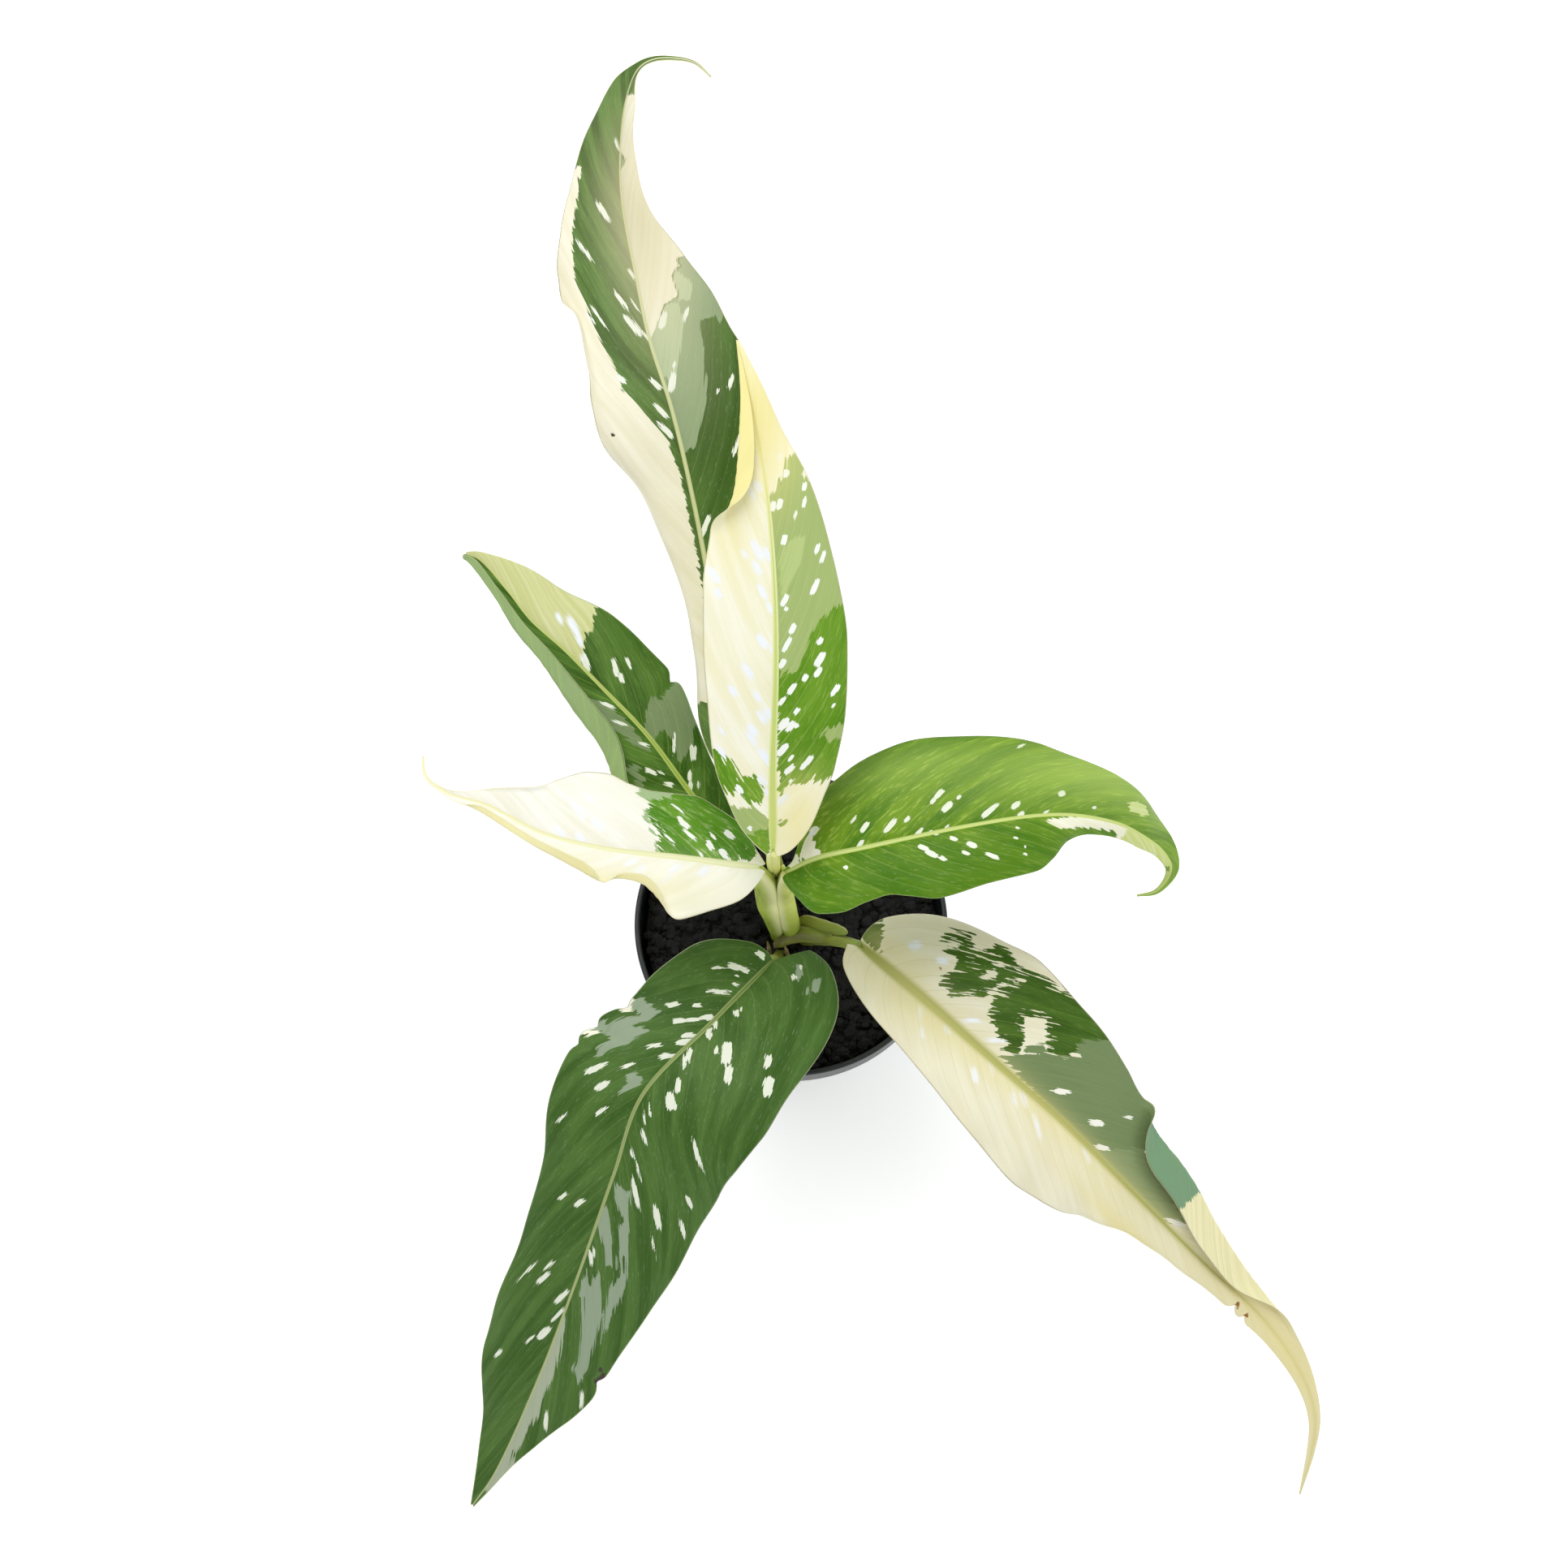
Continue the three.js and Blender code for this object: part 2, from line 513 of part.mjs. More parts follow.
// The cane's own shape below and above the mix; grow widens it for the socket in the mix
function caneSolid(grow) {
  const section = [
    [0, CANE_RADIUS * 0.55, CANE_RADIUS * 0.55],
    [0.25, CANE_RADIUS * 0.9, CANE_RADIUS * 0.9],
    [1, CANE_RADIUS, CANE_RADIUS],
  ];
  const top = grow > 0 ? MIX_TOP + 10 : CANE_TOP;
  const path = [[CANE_X, CANE_Y, CANE_FOOT], [CANE_X, CANE_Y, 70], [CANE_X, CANE_Y, top]];
  let solid = toSolid(rodGeometry(path, section, 6, 16, grow));
  for (const heading of ROOT_HEADINGS) {
    const cosine = Math.cos(heading * RADIANS);
    const sine = Math.sin(heading * RADIANS);
    const along = (reach, drop) => [
      CANE_X + reach * cosine,
      CANE_Y + reach * sine,
      ROOT_START_HEIGHT - drop,
    ];
    const rootPath = [along(0, 0), along(ROOT_REACH * 0.5, ROOT_DROP * 0.25), along(ROOT_REACH, ROOT_DROP)];
    const rootSection = [[0, ROOT_RADIUS, ROOT_RADIUS], [1, ROOT_TIP_RADIUS, ROOT_TIP_RADIUS]];
    solid = solid.add(toSolid(rodGeometry(rootPath, rootSection, 5, 8, grow)));
  }
  return solid;
}

// Small rise or dip of the mix at a ring and a sector, the same every time
function lump(ring, sector) {
  const wave = Math.sin(12.9898 * (ring + 1) + 78.233 * (sector + 1)) * 43758.5453;
  return (wave - Math.floor(wave) - 0.5) * 2 * MIX_ROUGHNESS;
}

// The potting mix: fills the pot to below its rim, with a lumpy top and the cane's socket cut out
function mixGeometry() {
  const rings = 7;
  const sectors = 36;
  const bottom = FLOOR + GAP;
  const wallRadius = (height) => innerRadius(height) - GAP;
  const topRadius = wallRadius(Math.min(MIX_TOP, COLLAR_BOTTOM - WALL));
  const rows = [];
  const place = (radius, sector, height) => {
    const angle = (2 * Math.PI * sector) / sectors;
    return [radius * Math.cos(angle), radius * Math.sin(angle), height];
  };
  for (let r = 1; r <= rings; r += 1) {
    const radius = (topRadius * r) / rings;
    const edge = r === rings;
    rows.push(Array.from({ length: sectors }, (_, s) => place(
      radius,
      s,
      MIX_TOP + (edge ? -0.5 : lump(r, s)),
    )));
  }
  rows.push(Array.from({ length: sectors }, (_, s) => place(topRadius, s, COLLAR_BOTTOM - WALL - 1)));
  rows.push(Array.from({ length: sectors }, (_, s) => place(wallRadius(bottom), s, bottom)));
  const positions = [0, 0, MIX_TOP, ...rows.flat(2), 0, 0, bottom];
  const lastIndex = rows.length * sectors + 1;
  const index = [];
  for (let s = 0; s < sectors; s += 1) {
    const next = (s + 1) % sectors;
    index.push(0, 1 + s, 1 + next);
    for (let r = 0; r < rows.length - 1; r += 1) {
      const a = 1 + r * sectors + s;
      const b = 1 + r * sectors + next;
      index.push(a, a + sectors, b + sectors, a, b + sectors, b);
    }
    const lastRow = 1 + (rows.length - 1) * sectors;
    index.push(lastIndex, lastRow + next, lastRow + s);
  }
  const geometry = new THREE.BufferGeometry();
  geometry.setAttribute('position', new THREE.Float32BufferAttribute(positions, 3));
  geometry.setIndex(index);
  return toGeometry(toSolid(geometry).subtract(caneSolid(GAP)));
}

// A dry scrap: a curved strip, narrower at its torn top, standing on the mix
function scrapGeometry(scrap) {
  const steps = 5;
  const arcs = 6;
  const footHeight = MIX_TOP + MIX_ROUGHNESS + GAP;
  const rings = [];
  for (let k = 0; k <= steps; k += 1) {
    const place = k / steps;
    const centre = new THREE.Vector3(
      scrap.foot[0] + scrap.lean[0] * place,
      scrap.foot[1] + scrap.lean[1] * place,
      footHeight + scrap.height * place,
    );
    const wrap = SCRAP_WRAP * (1 - 0.45 * place);
    const outer = [];
    const inner = [];
    for (let i = 0; i <= arcs; i += 1) {
      const angle = (scrap.turn + wrap * (i / arcs - 0.5)) * RADIANS;
      const spoke = new THREE.Vector3(Math.cos(angle), Math.sin(angle), 0);
      outer.push(centre.clone().addScaledVector(spoke, SCRAP_RADIUS));
      inner.push(centre.clone().addScaledVector(spoke, SCRAP_RADIUS - SCRAP_THICKNESS));
    }
    rings.push([...outer, ...inner.reverse()]);
  }
  return loft(rings);
}

function piece(name, geometry, material) {
  const flat = geometry.index ? geometry.toNonIndexed() : geometry;
  flat.computeVertexNormals();
  const mesh = new THREE.Mesh(flat, new THREE.MeshStandardMaterial(MATERIALS[material]));
  mesh.name = name;
  return mesh;
}

const plant = new THREE.Group();
plant.name = 'potted_dumb_cane';
plant.add(piece('pot', potGeometry(), 'pot'));
plant.add(piece('potting_mix', mixGeometry(), 'mix'));
plant.add(piece('cane', toGeometry(caneSolid(0)), 'cane'));
for (const stalk of STALKS) {
  const geometry = rodGeometry(stalk.path, stalk.section, STALK_STEPS, STALK_SIDES);
  plant.add(piece(stalk.name, geometry, stalk.material));
}
for (const blade of BLADES) {
  plant.add(piece(blade.name, bladeGeometry(blade), blade.material));
}
for (const scrap of SHEATH_SCRAPS) {
  plant.add(piece(scrap.name, scrapGeometry(scrap), 'drySheath'));
}

export default plant;
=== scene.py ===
"""A potted variegated dumb cane: a black nursery pot of dark grit with a short rooted cane, seven
stalks and seven blades.

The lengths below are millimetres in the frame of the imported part: the origin is the middle of the
pot's underside, +X right, +Y away from the viewer, +Z up. Every mesh is turned into metres as it is
made. A blade is one surface of two parameters, the place along its midrib and the place across it.
Its patches of cream, green and grey-green are outlines in the blade's own flat millimetres, so they
bend with it.
"""

import logging
import math
from collections.abc import Sequence
from dataclasses import dataclass
from enum import Enum
from itertools import product

import bpy
import numpy as np
from mathutils import Matrix

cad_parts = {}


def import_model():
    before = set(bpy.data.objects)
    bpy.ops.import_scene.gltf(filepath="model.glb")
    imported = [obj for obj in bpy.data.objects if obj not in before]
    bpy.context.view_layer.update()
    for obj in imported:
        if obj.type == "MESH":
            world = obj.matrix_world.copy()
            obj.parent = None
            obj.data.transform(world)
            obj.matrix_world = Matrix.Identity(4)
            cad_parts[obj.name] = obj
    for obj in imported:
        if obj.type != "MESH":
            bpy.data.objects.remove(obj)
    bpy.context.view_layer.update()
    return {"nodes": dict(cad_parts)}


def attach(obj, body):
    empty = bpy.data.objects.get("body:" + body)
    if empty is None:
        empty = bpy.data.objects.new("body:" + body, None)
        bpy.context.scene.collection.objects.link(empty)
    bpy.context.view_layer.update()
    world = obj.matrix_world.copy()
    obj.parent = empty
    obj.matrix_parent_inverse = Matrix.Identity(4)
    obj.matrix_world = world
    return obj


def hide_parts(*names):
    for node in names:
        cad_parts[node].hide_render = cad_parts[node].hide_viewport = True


Point = tuple[float, float, float]
Rows = tuple[tuple[float, float], ...]
Colour = tuple[int, int, int]
Array = np.ndarray
Object = bpy.types.Object
Material = bpy.types.Material
Socket = bpy.types.NodeSocket

# A millimetre in metres and in centimetres
MM = 0.001
CM = 0.1

BODY = "root"

# Driving dimensions of the pot, the mix and the cane
POT_HEIGHT = 105.0
RIM_RADIUS = 60.0
BASE_RADIUS = 38.0
WALL = 1.3
POT_FLOOR = 2.0
COLLAR_HEIGHT = 13.0
COLLAR_STEP = 2.4
RIM_WIDTH = 2.1
DRAIN_HOLES = 6
DRAIN_RING_RADIUS = 26.0
DRAIN_RADIUS = 4.0
MIX_TOP = 96.0
CANE_FOOT = 40.0
CANE_TOP = 102.0
CANE_RADIUS = 6.2
CANE_MIDDLE = (-2.5, -1.0)

# Driving dimensions of every blade
BLADE_THICKNESS = 0.5
EDGE_THICKNESS = 0.16
RIB_DEPTH_AT_BASE = 2.2
RIB_HALF_WIDTH_AT_BASE = 3.0
SMALLEST_HALF_WIDTH = 0.4
VEIN_SPACING = 7.0
VEIN_SWELL = 0.14
RIB_CHANNEL = 0.5

# How wide the streaks' pattern runs round a stalk and across a husk's side, in centimetres
STALK_GIRTH = 1.6
HUSK_GIRTH = 0.8

# How far the cross lines of a blade lean back (negative) or forward along it, in degrees
SWEEP: Rows = ((0, -62), (0.05, -22), (0.12, 5), (0.3, 12), (0.8, 12), (1, 30))

# How many millimetres a side vein runs toward the tip for each millimetre that it runs outward
VEIN_LEAN: Rows = ((0, 0.55), (0.12, 0.9), (0.3, 1.2), (0.6, 2.2), (0.85, 3.6), (1, 4.5))

# How much more it runs toward the tip, in millimetres for each square millimetre outward
VEIN_BEND = 0.008

# The depth in millimetres of a point that lies far outside a patch or a fleck
FAR_OUTSIDE = -30.0

log = logging.getLogger("dumb_cane")


def along_rows(rows: Sequence[Sequence[float]], places: Array) -> Array:
    """Reads rows of (place, value) as a smooth line that never overshoots them.

    Between two rows it is a cubic, whose slope at a row is the harmonic mean of the slopes on either
    side, or nothing where they turn.

    Args:
        rows: places in rising order, each with its value.
        places: where the line is read.

    Returns:
        One value for each place.
    """
    table = np.asarray(rows, float)
    at, value = table[:, 0], table[:, 1]
    inside = np.clip(places, at[0], at[-1])
    span = np.diff(at)
    secant = np.diff(value) / span
    before, after = secant[:-1], secant[1:]
    same_way = before * after > 0
    middle = np.where(same_way, 2 * before * after / np.where(same_way, before + after, 1.0), 0.0)
    slope = np.concatenate([secant[:1], middle, secant[-1:]])
    i = np.clip(np.searchsorted(at, inside, side="right") - 1, 0, len(span) - 1)
    u = (inside - at[i]) / span[i]
    return (
        (1 + 2 * u) * (1 - u) ** 2 * value[i]
        + u * (1 - u) ** 2 * span[i] * slope[i]
        + u * u * (3 - 2 * u) * value[i + 1]
        + u * u * (u - 1) * span[i] * slope[i + 1]
    )


def smooth(value: Array, low: float, high: float) -> Array:
    """Rises from 0 at low to 1 at high along an S-shaped cubic."""
    k = np.clip((value - low) / (high - low), 0.0, 1.0)
    return k * k * (3 - 2 * k)


def unit(vectors: Array) -> Array:
    """Each vector of the last axis divided by its own length."""
    return vectors / np.maximum(np.linalg.norm(vectors, axis=-1, keepdims=True), 1e-9)


@dataclass(frozen=True)
class SpaceCurve:
    """A centripetal Catmull-Rom curve through points, measured by its own length.

    Attributes:
        points: the points it passes through, in millimetres.
        steps: straight steps between two points when the curve is measured.
    """

    points: tuple[Point, ...]
    steps: int = 60

    def dense(self) -> Array:
        """Points close together along the curve.

        Each span is the cubic with the two end points and the two end slopes of a centripetal
        Catmull-Rom curve, whose knots lie apart by the square root of the distance.

        Returns:
            An array of shape (points, 3).
        """
        p = np.asarray(self.points, float)
        p = np.vstack([2 * p[0] - p[1], p, 2 * p[-1] - p[-2]])
        u = np.linspace(0, 1, self.steps, endpoint=False)[:, None]
        knot = np.sqrt(np.linalg.norm(np.diff(p, axis=0), axis=1))
        spans = []
        for i in range(1, len(p) - 2):
            p0, p1, p2, p3 = p[i - 1 : i + 3]
            d0, d1, d2 = knot[i - 1 : i + 2]
            start = ((p1 - p0) / d0 - (p2 - p0) / (d0 + d1) + (p2 - p1) / d1) * d1
            end = ((p2 - p1) / d1 - (p3 - p1) / (d1 + d2) + (p3 - p2) / d2) * d1
            square = 3 * (p2 - p1) - 2 * start - end
            cube = 2 * (p1 - p2) + start + end
            spans.append(p1 + start * u + square * u**2 + cube * u**3)
        return np.vstack([*spans, p[-2][None]])

    def frames(self, places: Array) -> tuple[Array, Array, float]:
        """Points and directions at places from 0 to 1 along the curve's length.

        Args:
            places: shares of the length.

        Returns:
            The points, the unit tangents and the length in millimetres.
        """
        dense = self.dense()
        arc = np.concatenate([[0.0], np.cumsum(np.linalg.norm(np.diff(dense, axis=0), axis=1))])
        length = arc[-1]

        def at(distance: Array) -> Array:
            """The curve's point at a distance from its start."""
            return np.stack([np.interp(distance, arc, dense[:, k]) for k in range(3)], axis=-1)

        reach = 0.5
        distance = places * length
        ahead = at(np.minimum(distance + reach, length))
        behind = at(np.maximum(distance - reach, 0.0))
        return at(distance), unit(ahead - behind), float(length)


@dataclass
class Shape:
    """A mesh before it goes into Blender: points in millimetres, faces and values on its points.

    Attributes:
        points: array of shape (points, 3).
        quads: array of shape (faces, 4) of point numbers.
        triangles: array of shape (faces, 3) of point numbers.
        values: named arrays with one number for each point.
        flow: array of shape (points, 2) for the UV map, or None.
    """

    points: Array
    quads: Array
    triangles: Array
    values: dict[str, Array]
    flow: Array | None = None

    def to_object(self, name: str) -> Object:
        """Puts the shape into a mesh object at the origin, in metres, shaded smooth.

        Args:
            name: the piece's name.

        Returns:
            The new object.
        """
        mesh = bpy.data.meshes.new(name)
        corners = np.concatenate([self.quads.ravel(), self.triangles.ravel()]).astype(np.int32)
        sizes = np.concatenate([np.full(len(self.quads), 4), np.full(len(self.triangles), 3)])
        starts = np.concatenate([[0], np.cumsum(sizes)[:-1]]).astype(np.int32)
        mesh.vertices.add(len(self.points))
        mesh.vertices.foreach_set("co", (self.points * MM).astype(np.float32).ravel())
        mesh.loops.add(len(corners))
        mesh.loops.foreach_set("vertex_index", corners)
        mesh.polygons.add(len(sizes))
        mesh.polygons.foreach_set("loop_start", starts)
        mesh.update(calc_edges=True)
        mesh.polygons.foreach_set("use_smooth", np.ones(len(sizes), bool))
        for key, value in self.values.items():
            layer = mesh.attributes.new(key, "FLOAT", "POINT")
            layer.data.foreach_set("value", value.astype(np.float32))
        if self.flow is not None:
            layer = mesh.uv_layers.new(name="flow")
            layer.data.foreach_set("uv", self.flow[corners].astype(np.float32).ravel())
        mesh.validate()
        piece = bpy.data.objects.new(name, mesh)
        bpy.context.scene.collection.objects.link(piece)
        return piece


def settle(piece: Object, material: Material, node: str = "") -> Object:
    """Dresses a piece and lets it ride with the pot.

    Args:
        piece: the piece.
        material: its material.
        node: the node it replaces, if any.

    Returns:
        The same piece.
    """
    piece.data.materials.append(material)
    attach(piece, BODY)
    if node:
        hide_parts(node)
    return piece


def joined(shapes: Sequence[Shape]) -> Shape:
    """Several shapes as one, each keeping its own closed body.

    Args:
        shapes: shapes that carry the same named values.

    Returns:
        One shape.
    """
    starts = np.cumsum([0] + [len(s.points) for s in shapes[:-1]])
    flow = None
    if shapes[0].flow is not None:
        flow = np.concatenate([s.flow for s in shapes])
    return Shape(
        points=np.concatenate([s.points for s in shapes]),
        quads=np.concatenate([s.quads + k for s, k in zip(shapes, starts)]),
        triangles=np.concatenate([s.triangles + k for s, k in zip(shapes, starts)]),
        values={key: np.concatenate([s.values[key] for s in shapes]) for key in shapes[0].values},
        flow=flow,
    )


def sheet_faces(rows: int, columns: int) -> tuple[Array, Array]:
    """Faces of a thin closed sheet whose underside shares the top's two edges.

    The top has rows x columns points, and the underside's rows x (columns - 2) follow it. A ring
    round each row joins to the next row's ring, and a strip closes either end.

    Args:
        rows: rows of points along the sheet.
        columns: points across the top of each row.

    Returns:
        The quads and the triangles.
    """
    top = np.arange(rows * columns).reshape(rows, columns)
    under = rows * columns + np.arange(rows * (columns - 2)).reshape(rows, columns - 2)
    below = np.concatenate([top[:, :1], under, top[:, -1:]], axis=1)
    ring = np.concatenate([top, under[:, ::-1]], axis=1)
    near, far = ring[:-1], ring[1:]
    wall = np.stack([near, np.roll(near, -1, 1), np.roll(far, -1, 1), far], axis=-1).reshape(-1, 4)
    first, last = 0, rows - 1
    start = np.stack([top[first, 2:-1], top[first, 1:-2], below[first, 1:-2], below[first, 2:-1]], -1)
    end = np.stack([top[last, 1:-2], top[last, 2:-1], below[last, 2:-1], below[last, 1:-2]], -1)
    tips = np.array([
        [top[first, 1], top[first, 0], below[first, 1]],
        [top[first, -1], top[first, -2], below[first, -2]],
        [top[last, 0], top[last, 1], below[last, 1]],
        [top[last, -2], top[last, -1], below[last, -2]],
    ])
    return np.concatenate([wall, start, end]), tips


def sheet(
    points: Array, normals: Array, above: Array, below: Array,
    values: dict[str, Array], flow: tuple[Array, Array],
) -> Shape:
    """A thin closed sheet: a grid's points moved up and down along its normals.

    Args:
        points: the grid, of shape (rows, columns, 3).
        normals: its upward unit normals.
        above: how far its top lies above it, in millimetres, nothing at its two edges.
        below: how far its underside lies below it.
        values: named values on the grid.
        flow: the two coordinates of its UV map, in centimetres.

    Returns:
        The shape. Its value "under" is 1 on the underside.
    """
    rows, columns = points.shape[:2]

    def both(value: Array) -> Array:
        """A grid's value on the top points and again on the underside's points."""
        full = np.broadcast_to(value, (rows, columns))
        return np.concatenate([full.ravel(), full[:, 1:-1].ravel()])

    top = points + above[..., None] * normals
    bottom = (points - below[..., None] * normals)[:, 1:-1]
    carried = {key: both(value) for key, value in values.items()}
    carried["under"] = np.repeat([0.0, 1.0], [rows * columns, rows * (columns - 2)])
    stacked = np.concatenate([top.reshape(-1, 3), bottom.reshape(-1, 3)])
    quads, triangles = sheet_faces(rows, columns)
    return Shape(stacked, quads, triangles, carried, np.stack([both(axis) for axis in flow], axis=-1))


def tube_faces(rows: int, sides: int) -> tuple[Array, Array]:
    """Faces of a closed tube of rings, with one extra point in the middle of either end.

    Args:
        rows: rings along the tube.
        sides: points round each ring, which run anticlockwise as seen from the tube's far end.

    Returns:
        The quads and the triangles. The two middle points follow the rings in the point list.
    """
    ring = np.arange(rows * sides).reshape(rows, sides)
    near, far = ring[:-1], ring[1:]
    wall = np.stack([near, np.roll(near, -1, 1), np.roll(far, -1, 1), far], axis=-1).reshape(-1, 4)
    first, last = ring[0], ring[-1]
    start = np.stack([np.roll(first, -1), first, np.full(sides, rows * sides)], axis=-1)
    end = np.stack([last, np.roll(last, -1), np.full(sides, rows * sides + 1)], axis=-1)
    return wall, np.concatenate([start, end])


def linear(colour: Colour) -> tuple[float, float, float, float]:
    """The linear colour that a shader takes.

    Args:
        colour: a display colour of 0 to 255.

    Returns:
        Red, green, blue and 1. Each is a power of 2.4, or a share of 12.92 where it is dark.
    """
    share = np.asarray(colour, float) / 255
    value = np.where(share <= 0.04045, share / 12.92, ((share + 0.055) / 1.055) ** 2.4)
    return (float(value[0]), float(value[1]), float(value[2]), 1.0)


class Graph:
    """One material's nodes, with short calls for the steps that the finishes share."""

    def __init__(self, name: str) -> None:
        """Starts a material with a single shader.

        Args:
            name: the material's name.
        """
        self.material = bpy.data.materials.new(name)
        self.material.use_nodes = True
        self.tree = self.material.node_tree
        self.tree.nodes.clear()
        self.shader = self.tree.nodes.new("ShaderNodeBsdfPrincipled")
        output = self.tree.nodes.new("ShaderNodeOutputMaterial")
        self.tree.links.new(self.shader.outputs["BSDF"], output.inputs["Surface"])

    def put(self, socket: Socket, value: object) -> None:
        """Links a socket to another one, or sets it where the value is a plain number or colour.

        Args:
            socket: the socket that takes the value.
            value: another socket, a number or a colour.
        """
        if isinstance(value, Socket):
            self.tree.links.new(value, socket)
        else:
            socket.default_value = value

    def add(self, kind: str, output: str | int, inputs: dict, **settings: str) -> Socket:
        """Adds one node.

        Args:
            kind: its type.
            output: the output that is read.
            inputs: its inputs by name or number, each with a socket or a plain value.
            settings: its own settings.

        Returns:
            The socket of that output.
        """
        node = self.tree.nodes.new(kind)
        for key, value in settings.items():
            setattr(node, key, value)
        for key, value in inputs.items():
            self.put(node.inputs[key], value)
        return node.outputs[output]

    def field(self, name: str) -> Socket:
        """The piece's own value of that name."""
        return self.add("ShaderNodeAttribute", "Fac", {}, attribute_name=name)

    def flow(self) -> Socket:
        """The piece's own UV map, in centimetres."""
        return self.add("ShaderNodeUVMap", "UV", {}, uv_map="flow")

    def place(self) -> Socket:
        """Object coordinates, in metres."""
        return self.add("ShaderNodeTexCoord", "Object", {})

    def part(self, vector: Socket, axis: str) -> Socket:
        """One axis of a vector."""
        return self.add("ShaderNodeSeparateXYZ", axis, {0: vector})

    def stretched(self, vector: Socket, factors: Point) -> Socket:
        """A vector with each axis multiplied by its own factor."""
        return self.add("ShaderNodeVectorMath", "Vector", {0: vector, 1: factors}, operation="MULTIPLY")

    def maths(self, operation: str, first: object, second: object) -> Socket:
        """One step of arithmetic on two sockets or numbers."""
        return self.add("ShaderNodeMath", 0, {0: first, 1: second}, operation=operation)

    def noise(self, vector: Socket, scale: float, detail: float = 2.0, rough: float = 0.5) -> Socket:
        """Cloudy noise from 0 to 1, with finer layers of a given count and strength."""
        inputs = {"Vector": vector, "Scale": scale, "Detail": detail, "Roughness": rough}
        return self.add("ShaderNodeTexNoise", "Fac", inputs)

    def streaky(self, across: float, along: float, detail: float = 2.0) -> Socket:
        """Noise drawn out along the side veins, by its clouds in a centimetre across and along them."""
        return self.noise(self.stretched(self.flow(), (across, along, 0.0)), 1.0, detail)

    def cells(self, vector: Socket, scale: float) -> Socket:
        """Distance to the nearest of scattered points."""
        return self.add("ShaderNodeTexVoronoi", "Distance", {"Vector": vector, "Scale": scale})

    def step(self, value: Socket, low: float, high: float, bottom: float = 0.0, top: float = 1.0) -> Socket:
        """A soft step from bottom to top as the value passes from low to high."""
        inputs = {"Value": value, "From Min": low, "From Max": high, "To Min": bottom, "To Max": top}
        return self.add("ShaderNodeMapRange", "Result", inputs, interpolation_type="SMOOTHSTEP")

    def paint(self, below: object, above: object, mask: object) -> Socket:
        """Lays one colour over another where a mask shows it. Each is a socket or a display colour."""
        below, above = (linear(each) if isinstance(each, tuple) else each for each in (below, above))
        return self.add("ShaderNodeMix", 2, {0: mask, 6: below, 7: above}, data_type="RGBA")

    def bump(self, height: Socket, distance: float, strength: float = 1.0) -> None:
        """Gives the shader fine relief. The distance is how many metres high a value of 1 stands."""
        inputs = {"Strength": strength, "Distance": distance, "Height": height}
        self.put(self.shader.inputs["Normal"], self.add("ShaderNodeBump", "Normal", inputs))

    def finish(self, colour: Socket, roughness: object) -> Material:
        """Connects the colour and the roughness.

        Args:
            colour: the colour's socket.
            roughness: a socket or a number.

        Returns:
            The material.
        """
        self.put(self.shader.inputs["Base Color"], colour)
        self.put(self.shader.inputs["Roughness"], roughness)
        return self.material


class Tone(Enum):
    """What a patch of a blade is coloured with, in the order in which patches cover each other."""

    CREAM = "cream"
    LIME = "lime"
    GREEN = "green"
    GREY = "grey"
    LIGHT = "light"


# The tones by their short names, for the patches below
CREAM, LIME, GREEN, GREY, LIGHT = Tone


